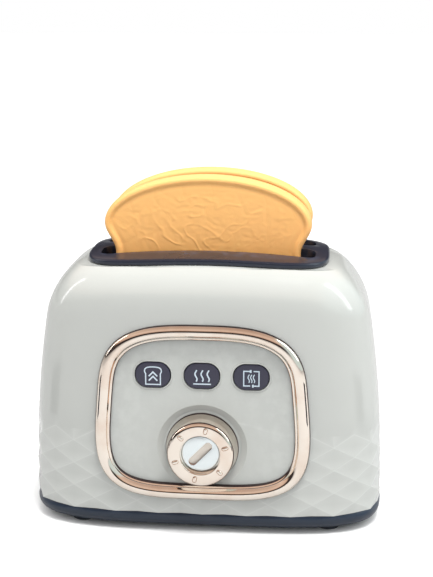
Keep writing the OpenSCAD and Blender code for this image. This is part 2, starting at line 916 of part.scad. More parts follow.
module arbor(at, y0, y1) {
    rod_y(at, arbor_r, y0, y1, 32);
}

module reduction_gear() {
    color(white) {
        gear(reduce_at, gear_teeth, 0, reduce_y);
        along_y(drive_y, reduce_y + 0.2) translate(reduce_at) gear_2d(pinion_teeth, 15);
        arbor(reduce_at, front_plate_y + 0.2, rear_plate_y + plate_t - 0.2);
    }
}

module escape_wheel() {
    teeth = 15;
    color(white) {
        along_y(reduce_y, wind_y + 0.2) translate(escape_at) gear_2d(pinion_teeth, 15);
        along_y(wind_y, wind_y + gear_t)
            translate(escape_at)
                polygon([
                    for (i = [0:teeth - 1])
                    let (a = 360 * i / teeth)
                    each [(escape_r - 1.8) * [cos(a - 12), sin(a - 12)], escape_r * [cos(a), sin(a)]]
                ]);
        arbor(escape_at, front_plate_y + 0.2, rear_plate_y + plate_t - 0.2);
    }
}

module pallet() {
    pin_r = 0.7;
    reach = escape_r + pin_r + 0.8;
    tips = [for (s = [-1, 1]) escape_at + reach * [cos(pallet_dir + s * 50), sin(pallet_dir + s * 50)]];
    color(white) {
        along_y(wind_y, wind_y + gear_t) {
            translate(pallet_at) circle(r = 2.4, $fn = 32);
            for (t = tips) bar_2d(pallet_at, t, 2 * pin_r);
        }
        arbor(pallet_at, front_plate_y + 0.2, rear_plate_y + plate_t - 0.2);
    }
}

module timer_cam() {
    spread = 11;
    far = 2 * lobe_r;
    color(brass)
        difference() {
            along_y(latch_y, latch_y + latch_t)
                translate(spindle_at) {
                    circle(r = cam_r, $fn = 64);
                    intersection() {
                        circle(r = lobe_r, $fn = 64);
                        polygon([
                            [0, 0], far * [cos(lobe_dir - spread), sin(lobe_dir - spread)],
                            far * [cos(lobe_dir + spread), sin(lobe_dir + spread)]
                        ]);
                    }
                }
            rod_y(spindle_at, spindle_r + press_gap, latch_y - 1, latch_y + latch_t + 1);
        }
}

module timer_plate(y) {
    along_y(y, y + plate_t) round_box_2d(plate_low, plate_high, post_in);
}

module timer_bores(y0, y1) {
    rod_y(spindle_at, spindle_r + run_gap, y0, y1);
    for (at = [reduce_at, escape_at, pallet_at]) rod_y(at, arbor_r + run_gap, y0, y1, 32);
    for (at = posts) rod_y(at, timer_screw_r + 0.05, y0, y1, 32);
}

module timer_front_plate() {
    color(steel)
        difference() {
            timer_plate(front_plate_y);
            timer_bores(front_plate_y - 1, front_plate_y + plate_t + 1);
        }
}

module timer_rear_plate() {
    color(steel)
        difference() {
            union() {
                timer_plate(rear_plate_y);
                for (at = posts) rod_y(at, post_r, front_plate_y + plate_t, -chassis_b);
                rod_y(hook_at, hook_r, wind_y, rear_plate_y + plate_t, 24);
            }
            timer_bores(front_plate_y, -chassis_b + 1);
        }
}

module timer_screws() {
    color(steel)
        for (at = posts) {
            rod_y(at, timer_screw_r, front_plate_y - 1, chassis_wall * 0.8 - chassis_b, 32);
            rod_y(at, 2.1, front_plate_y - 1.3, front_plate_y, 32);
        }
}

coil_r0 = spindle_r + 0.6;
coil_r1 = 10.4;
hook_r = 0.8;
hook_at = spindle_at + (coil_r1 + hook_r + seat_gap) * [-1, 0];

// Flat spiral strip, wound round the spindle
module mainspring() {
    turns = 4.5;
    strip = 0.5;
    n = 72;
    arc = [for (i = [0:n]) let (f = i / n) [lerp(coil_r0, coil_r1, f), 180 + 360 * turns * f - 360 * turns]];
    color(steel)
        along_y(wind_y + 0.2, wind_y + gear_t - 0.2)
            translate(spindle_at)
                polygon(concat(
                    [for (p = arc) p[0] * [cos(p[1]), sin(p[1])]],
                    [for (i = [n:-1:0]) (arc[i][0] - strip) * [cos(arc[i][1]), sin(arc[i][1])]]
                ));
}

module latch_lever() {
    arm_w = 4;
    nose_h = 3.4;
    color(white)
        difference() {
            along_y(latch_y, latch_y + latch_t) {
                translate(latch_at) circle(r = 3.8, $fn = 48);
                bar_2d(latch_at, tail_at, 2 * tail_r);
                bar_2d(latch_at, [nose_x - arm_w / 2 - 0.8, nose_z + nose_h], arm_w - 0.4);
                translate([nose_x - 4.4, nose_z]) square([4.4, nose_h]);
            }
            rod_y(latch_at, latch_pin_r + run_gap, latch_y - 1, latch_y + latch_t + 1);
        }
}

module latch_spring() {
    color(steel)
        translate([latch_at.x, 0, latch_at.y])
            rotate([-90, 0, 0])
                coil(latch_pin_r + 0.8, 0.3, 2, latch_y + latch_t + 0.1, -chassis_b - 0.1);
}

// ---- bread carrier ----

// Side wall of the chassis with its two feet, on the inside of y = s * chassis_b
module chassis_side(s) {
    foot_half = 5.5;
    difference() {
        union() {
            translate([0, s * (chassis_b - chassis_wall / 2), 0])
                block([-chassis_a, -chassis_wall / 2, chassis_low],
                      [chassis_a, chassis_wall / 2, chassis_top]);
            for (x = [-tab_x, tab_x]) {
                translate([x, s * tab_y, chassis_low])
                    block([-4.5, -foot_half, 0], [4.5, foot_half, tab_t]);
            }
        }
        for (x = [-tab_x, tab_x]) {
            translate([x, s * tab_y, 0]) rod_z(0, 0, screw_r + 0.1, chassis_low - 1, chassis_low + tab_t + 1);
        }
    }
}

module chassis_front() {
    color(white)
        difference() {
            union() {
                chassis_side(-1);
                rod_y(latch_at, latch_pin_r, latch_y - 0.8, -chassis_b + 0.5);
            }
            block([tongue_x - tongue_w / 2 - slide_gap, -chassis_b - 1, chassis_low - 1],
                  [tongue_x + tongue_w / 2 + slide_gap, -slot_y, guide_top]);
            for (at = posts) {
                rod_y(at, timer_screw_r + press_gap, -chassis_b - 1, -chassis_b + chassis_wall + 1, 32);
            }
        }
}

module chassis_rear() {
    color(white) chassis_side(1);
}

// End wall with a guide slot for each of the carriage's bars and a lug that holds a rod
module chassis_end(s) {
    lug_half = 5;
    color(white)
        difference() {
            union() {
                translate([s * (chassis_a - end_wall / 2), 0, 0])
                    block([-end_wall / 2, -well_out, chassis_low], [end_wall / 2, well_out, chassis_top]);
                translate([s * (chassis_a + rod_x + lug_half) / 2, 0, lug_z])
                    block([-(rod_x + lug_half - chassis_a) / 2 - eps, -lug_half, 0],
                          [(rod_x + lug_half - chassis_a) / 2 + eps, lug_half, lug_t]);
            }
            for (y = [-slot_y, slot_y]) {
                translate([s * chassis_a, y, 0])
                    block([-4, -bar_w / 2 - slide_gap, chassis_low - 1],
                          [4, bar_w / 2 + slide_gap, guide_top]);
            }
            rod_z(s * rod_x, 0, rod_r + press_gap, lug_z - 1, lug_z + lug_t + 1);
        }
}

module chassis_left() {
    chassis_end(-1);
}

module chassis_right() {
    chassis_end(1);
}

module chassis_dividers() {
    color(white)
        for (s = [-1, 1]) {
            translate([0, s * (well_in - divider_t / 2), 0])
                block([-well_l / 2, -divider_t / 2, chassis_low], [well_l / 2, divider_t / 2, chassis_top]);
        }
}

module guide_rod(s) {
    color(steel) rod_z(s * rod_x, 0, rod_r, rod_low, rod_top);
}

module guide_rod_left() {
    guide_rod(-1);
}

module guide_rod_right() {
    guide_rod(1);
}

module carriage() {
    top = toast_z;
    low = top - bar_h;
    mid = (top + low) / 2;
    pan_t = 2;
    bar_y = bar_w / 2;
    pan_y = pan_w / 2;
    arm_x = (rod_x + yoke_x) / 2;
    arm_l = (rod_x - yoke_x) / 2;
    color(white)
        difference() {
            union() {
                for (s = [-1, 1]) {
                    y = s * slot_y;
                    block([-yoke_x, y - bar_y, low], [yoke_x, y + bar_y, top]);
                    block([-pan_l / 2, y - pan_y, top - pan_t], [pan_l / 2, y + pan_y, top]);
                    translate([s * yoke_x, 0, 0])
                        block([-yoke_t / 2, -slot_y - bar_y, low], [yoke_t / 2, slot_y + bar_y, top]);
                    translate([s * arm_x, 0, 0]) block([-arm_l, -2, low], [arm_l, 2, top]);
                    rod_z(s * rod_x, 0, boss_r, mid - yoke_h / 2, mid + yoke_h / 2);
                }
                translate([tongue_x, 0, 0])
                    block([-tongue_w / 2, latch_y - seat_gap, low], [tongue_w / 2, -slot_y, top]);
            }
            for (s = [-1, 1]) rod_z(s * rod_x, 0, rod_r + run_gap, low - yoke_h, top + yoke_h);
        }
}

module carriage_spring(s) {
    low = spring_seat + seat_gap / 2;
    top = toast_z - bar_h / 2 - yoke_h / 2 - seat_gap / 2;
    color(steel) translate([s * rod_x, 0, 0]) coil(spring_r, wire_r, spring_turns, low, top);
}

module carriage_spring_left() {
    carriage_spring(-1);
}

module carriage_spring_right() {
    carriage_spring(1);
}

toast_half = concat(
    [
        for (a = [-90:6:0])
        [toast_neck_w / 2 - toast_corner, toast_z + toast_corner] + toast_corner * [cos(a), sin(a)]
    ],
    [
        for (f = [0:0.1:1])
        [
            lerp(toast_neck_w, toast_w, (1 - cos(180 * f)) / 2) / 2,
            lerp(toast_neck_z, toast_wide_z, f)
        ]
    ],
    [for (a = [3:3:90]) [toast_w / 2 * cos(a), toast_wide_z + crown_h * sin(a)]]
);
toast_curve = concat(
    toast_half,
    [for (i = [len(toast_half) - 2:-1:0]) [-toast_half[i].x, toast_half[i].y]]
);
toast_line = evenly(toast_curve, toast_points);

// Slice section: distance in from the outline, depth below the slice's face
toast_section = [[9.5, 0.5], [7, 1], [4.5, 0], [2, 0.25], [0.6, 1.5], [0, 3.6]];

module slice(y) {
    t = toast_t / 2;
    row = function (s, side) [
        for (p = inset(toast_line, s[0]))
        [p.x, y + side * (t - (s[1] <= 1 ? s[1] * crust_in : s[1])), p.y]
    ];
    n = len(toast_section) - 1;
    face = t - toast_section[0][1] * crust_in;
    mid_z = toast_z + toast_h / 2;
    color(crust)
        fan_loft(
            concat(
                [for (s = toast_section) row(s, 1)],
                [for (k = [n:-1:0]) row(toast_section[k], -1)]
            ),
            [0, y + face, mid_z],
            [0, y - face, mid_z]
        );
}

module toast_front() {
    slice(-slot_y);
}

module toast_rear() {
    slice(slot_y);
}

// ---- screws ----

module base_screws() {
    color(steel)
        four_ways(foot_x, foot_y) {
            rod_z(0, 0, screw_r, screw_seat - 1, seam_z + screw_in, 32);
            rod_z(0, 0, screw_head_r, screw_seat - 2.2, screw_seat, 32);
        }
}

module chassis_screws() {
    top = chassis_low + tab_t;
    color(steel)
        four_ways(tab_x, tab_y) {
            rod_z(0, 0, screw_r, floor_z + 2, top + 1, 32);
            rod_z(0, 0, screw_head_r, top, top + 1.8, 32);
        }
}

placed()body_shell();
placed()base_tray();
placed() feet();
placed()top_collar();
placed()bezel_ring();
placed()control_panel();
placed()chassis_front();
placed()chassis_rear();
placed()chassis_left();
placed()chassis_right();
placed()chassis_dividers();
placed()guide_rod_left();
placed()guide_rod_right();
placed()carriage();
placed()carriage_spring_left();
placed()carriage_spring_right();
placed()toast_front();
placed()toast_rear();
placed()latch_lever();
placed()latch_spring();
placed()knob();
placed()knob_disc();
placed()timer_spindle();
placed()timer_cam();
placed()timer_front_plate();
placed()timer_rear_plate();
placed() drive_gear();
placed() reduction_gear();
placed() escape_wheel();
placed() pallet();
placed()mainspring();
placed()button_left();
placed()button_middle();
placed()button_right();
placed()button_spring_left();
placed()button_spring_middle();
placed()button_spring_right();
placed()button_bracket();
placed()base_screws();
placed()chassis_screws();
placed()timer_screws();
placed()bracket_screws();
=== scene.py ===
"""Looks of a toy pop-up toaster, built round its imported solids.

Points are in millimetres, with y from the middle of the housing, until raw_object makes a mesh of them.
"""
import math

import bmesh
import bpy
from mathutils import Matrix, Vector, noise


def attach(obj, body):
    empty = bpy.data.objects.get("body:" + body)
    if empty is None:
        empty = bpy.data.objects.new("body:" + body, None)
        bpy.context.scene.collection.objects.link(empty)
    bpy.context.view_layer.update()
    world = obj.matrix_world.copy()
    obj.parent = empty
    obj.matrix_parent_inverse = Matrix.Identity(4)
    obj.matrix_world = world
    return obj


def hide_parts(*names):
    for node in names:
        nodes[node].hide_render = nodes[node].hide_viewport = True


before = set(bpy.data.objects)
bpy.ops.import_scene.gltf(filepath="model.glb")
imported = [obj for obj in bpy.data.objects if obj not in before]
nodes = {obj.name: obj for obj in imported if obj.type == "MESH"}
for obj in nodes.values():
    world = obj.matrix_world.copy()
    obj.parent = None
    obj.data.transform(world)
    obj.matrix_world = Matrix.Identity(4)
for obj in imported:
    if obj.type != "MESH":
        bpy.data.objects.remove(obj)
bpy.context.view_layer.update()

MM = 0.001
MID_Y = 4.8  # the middle of the housing lies this far behind the origin

# ---- sizes ----

HALF_W, HALF_D, PLAN_N = 90.0, 46.5, 4.0
SEAM_Z, BAND_TOP = 10.5, 52.5
FACET_H, FACET_IN, FACET_COLS, FACET_ROWS = 6.0, 0.55, 44, 7
PER_FACET = 4  # points in each column of facets, where the plan is smooth
RIDGE_BEVEL = 0.26
RIDGE_W = 0.4  # faces of the band that are narrower than this are its bevelled ridges
BROW_SIDE_Z, BROW_FRONT_Z = 107, 116  # where the walls start to round over
CROWN_Z, COLLAR_A, COLLAR_B, COLLAR_T = 141.0, 61.0, 34.0, 3.0
SLOT_L, SLOT_W, SLOT_Y, SLOT_CORNER = 108.0, 15.6, 12.5, 5.0
SLEEVE_T, SLEEVE_FOOT, SLEEVE_TOP = 1.6, 127.9, 135.0
WALL = 2.95
SEAT_GAP = 0.2
BASE_Z = 2.5  # underside of the base
BEZEL_W = 7.7
OPENING_IN = 2.4  # from the bezel's outline in to the opening and to the panel's edge
PANEL_Y, PANEL_BACK, DISH_D = -45.0, -42.4, 1.2
BUTTON_Z, BUTTON_PITCH, BUTTON_A, BUTTON_B = 82.7, 24.2, 8.6, 6.3
CAP_Y = PANEL_Y - 0.9  # face of the buttons
PRINT_T, ICON_SCALE = 0.08, 0.91
KNOB_Z, KNOB_R, KNOB_L, DISC_R = 45.3, 18.2, 11.4, 9.2
KNOB_FOOT_Y = PANEL_Y + DISH_D - 0.4
KNOB_FACE_Y = KNOB_FOOT_Y - KNOB_L
WELL_FLOOR = 6.6  # floor of the dial's well, forward of its foot
DISC_Y, DISC_T = KNOB_FACE_Y + 2.3, 2.4
DIAL_SEGMENTS = 256
TOAST_Z, TOAST_H, TOAST_W, TOAST_NECK, TOAST_T = 86.0, 91.0, 104.0, 93.0, 11.6
TOAST_FOOT_R, TOAST_CROWN, TOAST_FLARE = 13, 24.4, 14.6


# ---- curves ----

def lerp(a, b, f):
    return a + (b - a) * f


def power(v, e):
    return math.copysign(abs(v) ** e, v)


def super_plan(a, b, n):
    """Closed plan curve, anticlockwise from its front."""
    return [
        (a * power(math.cos(math.radians(i)), 2 / n), b * power(math.sin(math.radians(i)), 2 / n))
        for i in range(-90, 270)
    ]


def evenly(points, n):
    """n points at equal distances along a closed curve."""
    m = len(points)
    at = [0.0]
    for i in range(m):
        p, q = points[i], points[(i + 1) % m]
        at.append(at[-1] + math.hypot(q[0] - p[0], q[1] - p[1]))
    out, j = [], 0
    for k in range(n):
        s = at[m] * k / n
        while at[j + 1] < s:
            j += 1
        f = (s - at[j]) / (at[j + 1] - at[j])
        p, q = points[j], points[(j + 1) % m]
        out.append((lerp(p[0], q[0], f), lerp(p[1], q[1], f)))
    return out


def inset(points, d):
    """A closed anticlockwise outline moved inwards by d."""
    n = len(points)
    out = []
    for i, p in enumerate(points):
        a, b = points[i - 1], points[(i + 1) % n]
        vx, vy = b[0] - a[0], b[1] - a[1]
        s = d / math.hypot(vx, vy)
        out.append((p[0] - vy * s, p[1] + vx * s))
    return out


def side_x(z):
    """Half width of the walls, which lean in towards the top."""
    return HALF_W - 7.5 * (max(0.0, z - SEAM_Z) / (BROW_SIDE_Z - SEAM_Z)) ** 2.2


def wall_at(u, z, t):
    return (u[0] * (side_x(z) - t), u[1] * (HALF_D - t), z)


def frontness(u):
    """From 0 at the plan's ends to 1 at its front and back."""
    return abs(u[1]) ** 4


def brow_z(u):
    return lerp(BROW_SIDE_Z, BROW_FRONT_Z, frontness(u))


def brow_at(u, deg, t):
    """The top rounding of the housing, from its walls at 0 to the collar."""
    f = math.radians(deg)
    top = CROWN_Z - t - lerp(6.8, 4.6, frontness(u))
    z = lerp(brow_z(u), top, math.sin(f))
    return (
        u[0] * lerp(COLLAR_A - 1 - t, side_x(z) - t, math.cos(f)),
        u[1] * lerp(COLLAR_B - 5 - t, HALF_D - t, math.cos(f)),
        z,
    )


def crown_at(x, y, drop):
    """A point on the collar's low dome, or below it by drop."""
    return (x, y, CROWN_Z - drop - x * x / 960 - y * y / 460)


def front_y(x):
    """Depth of the front wall at x."""
    return -HALF_D * (1 - (abs(x) / HALF_W) ** PLAN_N) ** (1 / PLAN_N)


def unit_plan(n):
    return [(p[0] / HALF_W, p[1] / HALF_D) for p in evenly(super_plan(HALF_W, HALF_D, PLAN_N), n)]


def bezel_curve():
    """Outline of the bezel in x and z: rounder above its middle, squarer and a little wider below."""
    out = []
    for i in range(-90, 270):
        s, c = math.sin(math.radians(i)), math.cos(math.radians(i))
        n, h = (3.1, 35.5) if s >= 0 else (3.8, 55.0)
        dz = h * power(s, 2 / n)
        out.append((53.6 * 0.971 * (1 - 0.0017 * dz) * power(c, 2 / n), 73.5 + dz))
    return out


def toast_curve():
    """Outline of a slice: rounded feet, a neck that flares, and a low crown."""
    half = []
    for a in range(-90, 1, 3):
        r = math.radians(a)
        half.append((
            TOAST_NECK / 2 - TOAST_FOOT_R + TOAST_FOOT_R * math.cos(r),
            TOAST_Z + TOAST_FOOT_R + TOAST_FOOT_R * math.sin(r),
        ))
    wide_z = TOAST_Z + TOAST_H - TOAST_CROWN
    for k in range(21):
        f = k / 20
        x = lerp(TOAST_NECK, TOAST_W, (1 - math.cos(math.pi * f)) / 2) / 2
        half.append((x, wide_z - TOAST_FLARE * (1 - f)))
    for a in range(2, 91, 2):
        r = math.radians(a)
        half.append((TOAST_W / 2 * math.cos(r), wide_z + TOAST_CROWN * math.sin(r)))
    return half + [(-x, z) for x, z in half[-2::-1]]


# ---- meshes ----

def linked(name, data):
    """A new object in the scene."""
    obj = bpy.data.objects.new(name, data)
    bpy.context.scene.collection.objects.link(obj)
    return obj


def raw_object(name, verts, faces):
    """A mesh object from points in millimetres about the middle of the housing."""
    mesh = bpy.data.meshes.new(name)
    mesh.from_pydata([Vector((x, y + MID_Y, z)) * MM for x, y, z in verts], [], faces)
    mesh.validate()
    return linked(name, mesh)


def mesh_object(name, verts, faces, material, body, stands_for=(), sharp=35):
    return finish_piece(raw_object(name, verts, faces), material, body, stands_for, sharp)


def finish_piece(obj, material, body, stands_for=(), sharp=35):
    obj.data.materials.clear()
    obj.data.materials.append(material)
    smooth_by_angle(obj.data, sharp)
    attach(obj, body)
    if stands_for:
        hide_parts(*stands_for)
    return obj


def smooth_by_angle(mesh, degrees):
    bm = bmesh.new()
    bm.from_mesh(mesh)
    limit = math.radians(degrees)
    for f in bm.faces:
        f.smooth = True
    for e in bm.edges:
        e.smooth = len(e.link_faces) == 2 and e.calc_face_angle(0) < limit
    bm.to_mesh(mesh)
    bm.free()


def loft(rows, first=None, last=None, ring=False):
    """Points and faces through closed rows, with a fan to a point at each end, or joined into a ring."""
    n = len(rows[0])
    verts = [p for r in rows for p in r]
    faces = []
    pairs = len(rows) if ring else len(rows) - 1
    for k in range(pairs):
        a, b = k * n, ((k + 1) % len(rows)) * n
        for i in range(n):
            j = (i + 1) % n
            faces.append((a + i, a + j, b + j, b + i))
    if first is not None:
        verts.append(first)
        faces += [((i + 1) % n, i, len(verts) - 1) for i in range(n)]
    if last is not None:
        verts.append(last)
        a = (len(rows) - 1) * n
        faces += [(a + i, a + (i + 1) % n, len(verts) - 1) for i in range(n)]
    return verts, faces


def paint_strips(obj, material, strips, per_row):
    """Gives some strips of a loft, each the faces between two rows, a second material."""
    obj.data.materials.append(material)
    last = len(obj.data.materials) - 1
    for f in obj.data.polygons:
        if f.index // per_row in strips:
            f.material_index = last
    return obj


def joined(*parts):
    """Several lists of points and faces as one."""
    verts, faces = [], []
    for v, f in parts:
        base = len(verts)
        verts += v
        faces += [tuple(i + base for i in face) for face in f]
    return verts, faces


def absorb(obj, name, parts):
    """Adds lists of points and faces to an object's mesh."""
    extra = raw_object(name, *joined(*parts))
    bm = bmesh.new()
    bm.from_mesh(obj.data)
    bm.from_mesh(extra.data)
    bm.to_mesh(obj.data)
    bm.free()
    bpy.data.objects.remove(extra)


def baked(obj, name=None):
    """The object with its modifiers turned into a plain mesh."""
    mesh = bpy.data.meshes.new_from_object(obj.evaluated_get(bpy.context.evaluated_depsgraph_get()))
    obj.modifiers.clear()
    old = obj.data
    obj.data = mesh
    if old.users == 0:
        bpy.data.meshes.remove(old)
    if name:
        obj.name = mesh.name = name
    return obj


def cut(obj, *cutters):
    for c in cutters:
        m = obj.modifiers.new("cut", "BOOLEAN")
        m.operation, m.solver, m.object = "DIFFERENCE", "EXACT", c
    bpy.context.view_layer.update()
    baked(obj)
    for c in cutters:
        bpy.data.objects.remove(c)
    return obj


def soften(obj, width, angle, segments):
    m = obj.modifiers.new("soften", "BEVEL")
    m.width, m.segments = width * MM, segments
    m.limit_method, m.angle_limit = "ANGLE", math.radians(angle)
    bpy.context.view_layer.update()
    return baked(obj)


def prism_y(outline, y0, y1):
    """A closed prism of an outline in x and z, between two depths."""
    rows = [[(x, y1, z) for x, z in outline], [(x, y0, z) for x, z in outline]]
    cx = sum(p[0] for p in outline) / len(outline)
    cz = sum(p[1] for p in outline) / len(outline)
    return loft(rows, (cx, y1, cz), (cx, y0, cz))


def prism_z(outline, z0, z1):
    rows = [[(x, y, z0) for x, y in outline], [(x, y, z1) for x, y in outline]]
    cx = sum(p[0] for p in outline) / len(outline)
    cy = sum(p[1] for p in outline) / len(outline)
    return loft(rows, (cx, cy, z0), (cx, cy, z1))


def tube_z(outer, inner, z0, z1):
    """A wall between two outlines in x and y, from one height to another."""
    corners = ((outer, z0), (outer, z1), (inner, z1), (inner, z0))
    return loft([[(a, b, z) for a, b in outline] for outline, z in corners], ring=True)


def rounded_box(cx, cy, a, b, r, steps=10):
    out = []
    for sx, sy, start in ((1, -1, -90), (1, 1, 0), (-1, 1, 90), (-1, -1, 180)):
        for k in range(steps + 1):
            t = math.radians(start + 90 * k / steps)
            out.append((cx + sx * (a - r) + r * math.cos(t), cy + sy * (b - r) + r * math.sin(t)))
    return out


def turned(profile, at_y, z, segments=192):
    """Turns (radius, distance forward) pairs about a line along Y."""
    rows = []
    for r, d in profile:
        rows.append([
            (
                r * math.cos(2 * math.pi * i / segments),
                at_y - d,
                z + r * math.sin(2 * math.pi * i / segments),
            )
            for i in range(segments)
        ])
    return rows


# ---- materials ----

def node_group(name, inputs, outputs):
    """A shader group of numbers: its inputs have defaults, and its outputs only names."""
    tree = bpy.data.node_groups.new(name, "ShaderNodeTree")
    for label, default in inputs:
        s = tree.interface.new_socket(label, in_out="INPUT", socket_type="NodeSocketFloat")
        s.default_value = default
    for label in outputs:
        tree.interface.new_socket(label, in_out="OUTPUT", socket_type="NodeSocketFloat")
    return tree, tree.nodes.new("NodeGroupInput"), tree.nodes.new("NodeGroupOutput")


def set_inputs(tree, node, **sockets):
    """Sets inputs by name, or by number as i0: a value is set, and another node's socket is linked."""
    for k, v in sockets.items():
        by_number = k[0] == "i" and k[1:].isdigit()
        s = node.inputs[int(k[1:])] if by_number else node.inputs[k.replace("_", " ")]
        if isinstance(v, bpy.types.NodeSocket):
            tree.links.new(v, s)
        else:
            s.default_value = v
    return node


def add(tree, kind, **settings):
    """A node. A name that starts with _ is one of its properties, and any other is an input."""
    n = tree.nodes.new("ShaderNode" + kind)
    for k, v in settings.items():
        if k.startswith("_"):
            setattr(n, k[1:], v)
    return set_inputs(tree, n, **{k: v for k, v in settings.items() if not k.startswith("_")})


def calc(tree, operation, *values, clamp=False):
    inputs = {f"i{k}": v for k, v in enumerate(values)}
    return add(tree, "Math", _operation=operation, _use_clamp=clamp, **inputs).outputs[0]


def mix(tree, share, a, b):
    """Colour a turning to colour b."""
    return add(tree, "Mix", _data_type="RGBA", i0=share, i6=a, i7=b).outputs[2]


def moulded_surface_group():
    """Moulded plastic: faint mottling, orange peel and fine scuffs."""
    t, i, o = node_group(
        "moulded surface",
        [("Peel Scale", 900.0), ("Peel Height", 0.4), ("Scuffs", 0.5)],
        ["Mottle", "Roughness Shift", "Height"],
    )
    pos = add(t, "TexCoord").outputs["Object"]
    peel = add(t, "TexNoise", Vector=pos, Scale=i.outputs["Peel Scale"], Detail=2.0)
    cloud = add(t, "TexNoise", Vector=pos, Scale=22.0, Detail=3.0)
    stretch = add(t, "Mapping", Vector=pos, Rotation=(0.3, 0.2, 0.5), Scale=(1.0, 6.0, 14.0))
    lines = add(t, "TexNoise", Vector=stretch.outputs[0], Scale=160.0, Detail=4.0, Roughness=0.7)
    thin = add(t, "MapRange", Value=lines.outputs[0], i1=0.66, i2=0.72)
    patch = add(t, "MapRange", Value=cloud.outputs[0], i1=0.52, i2=0.68)
    scuff = calc(t, "MULTIPLY", thin.outputs[0], patch.outputs[0])
    scuffs = calc(t, "MULTIPLY", scuff, i.outputs["Scuffs"])
    rise = calc(t, "MULTIPLY", peel.outputs[0], i.outputs["Peel Height"])
    height = calc(t, "SUBTRACT", rise, scuffs)
    shift = calc(t, "MULTIPLY_ADD", cloud.outputs[0], 0.08, scuffs)
    set_inputs(t, o, Mottle=cloud.outputs[0], Roughness_Shift=shift, Height=height)
    return t


def handling_group():
    """Polished metal that is touched: soft smudges and hairlines."""
    t, i, o = node_group(
        "handling marks", [("Smudge Scale", 60.0), ("Hairlines", 0.3)], ["Smudges", "Height"],
    )
    pos = add(t, "TexCoord").outputs["Object"]
    smudge = add(t, "TexNoise", Vector=pos, Scale=i.outputs["Smudge Scale"], Detail=5.0, Roughness=0.6)
    soft = add(t, "MapRange", Value=smudge.outputs[0], i1=0.45, i2=0.75)
    stretch = add(t, "Mapping", Vector=pos, Rotation=(0.4, 0.9, 0.2), Scale=(40.0, 2.0, 2.0))
    hair = add(t, "TexNoise", Vector=stretch.outputs[0], Scale=90.0, Detail=6.0)
    fine = add(t, "MapRange", Value=hair.outputs[0], i1=0.7, i2=0.74)
    height = calc(t, "MULTIPLY", fine.outputs[0], i.outputs["Hairlines"])
    set_inputs(t, o, Smudges=soft.outputs[0], Height=height)
    return t


def edge_wear_and_highlight_group():
    """A mask of a piece's outer edges, broken up by noise. Colour laid on it is partly wear and partly a
    painted highlight on the edges.
    """
    t, i, o = node_group("edge wear", [("Sharpness", 14.0), ("Amount", 0.6)], ["Mask"])
    point = add(t, "NewGeometry").outputs["Pointiness"]
    raised = calc(t, "SUBTRACT", point, 0.52)
    sharp = calc(t, "MULTIPLY", raised, i.outputs["Sharpness"], clamp=True)
    broken = add(t, "TexNoise", Vector=add(t, "TexCoord").outputs["Object"], Scale=210.0, Detail=3.0)
    part = add(t, "MapRange", Value=broken.outputs[0], i1=0.4, i2=0.65)
    both = calc(t, "MULTIPLY", sharp, part.outputs[0])
    mask = calc(t, "MULTIPLY", both, i.outputs["Amount"])
    set_inputs(t, o, Mask=mask)
    return t


MOULDED = moulded_surface_group()
HANDLED = handling_group()
EDGE_WEAR_AND_HIGHLIGHT = edge_wear_and_highlight_group()


def new_material(name):
    m = bpy.data.materials.new(name)
    m.use_nodes = True
    t = m.node_tree
    return m, t, t.nodes["Principled BSDF"]


def place(tree, group, **values):
    n = tree.nodes.new("ShaderNodeGroup")
    n.node_tree = group
    return set_inputs(tree, n, **values)


def rgb(*c):
    """A colour given as it looks on screen."""
    return tuple((v / 255 / 12.92) if v <= 10 else ((v / 255 + 0.055) / 1.055) ** 2.4 for v in c) + (1.0,)


def plastic(name, light, dark, wear_and_highlight, roughness, coat=0.0, peel=900.0, peel_height=0.4, scuffs=0.4,
            bump=0.03, ridge=None):
    """Moulded plastic. A painted highlight colour shows on bevelled ridges, where the piece's own attribute
    for them is set.
    """
    m, t, b = new_material(name)
    surface = place(t, MOULDED, Peel_Scale=peel, Peel_Height=peel_height, Scuffs=scuffs)
    edge = place(t, EDGE_WEAR_AND_HIGHLIGHT, Amount=0.5)
    tone = mix(t, surface.outputs["Mottle"], dark, light)
    # lighter outer edges: partly wear, partly a painted highlight on them
    worn_and_highlit = mix(t, edge.outputs["Mask"], tone, wear_and_highlight)
    rough = calc(t, "ADD", surface.outputs["Roughness Shift"], roughness)
    height = add(t, "Bump", Height=surface.outputs["Height"], Strength=bump, Distance=0.001)
    colour = worn_and_highlit
    if ridge:
        # painted highlight: the attribute lightens the bevelled ridges as if they caught the light
        line = add(t, "Attribute", _attribute_name="ridge")
        colour = mix(t, line.outputs["Fac"], colour, ridge)
    set_inputs(t, b, Base_Color=colour, Roughness=rough, Normal=height.outputs[0], IOR=1.5,
               Coat_Weight=coat, Coat_Roughness=0.05)
    return m


def metal(name, light, dark, roughness, hairlines=0.3):
    """Polished metal, of the dark colour and duller where it is smudged."""
    m, t, b = new_material(name)
    marks = place(t, HANDLED, Hairlines=hairlines)
    tone = mix(t, marks.outputs["Smudges"], light, dark)
    rough = calc(t, "MULTIPLY_ADD", marks.outputs["Smudges"], 0.12, roughness)
    height = add(t, "Bump", Height=marks.outputs["Height"], Strength=0.03, Distance=0.0005)
    set_inputs(t, b, Base_Color=tone, Roughness=rough, Normal=height.outputs[0], Metallic=1.0)
    return m


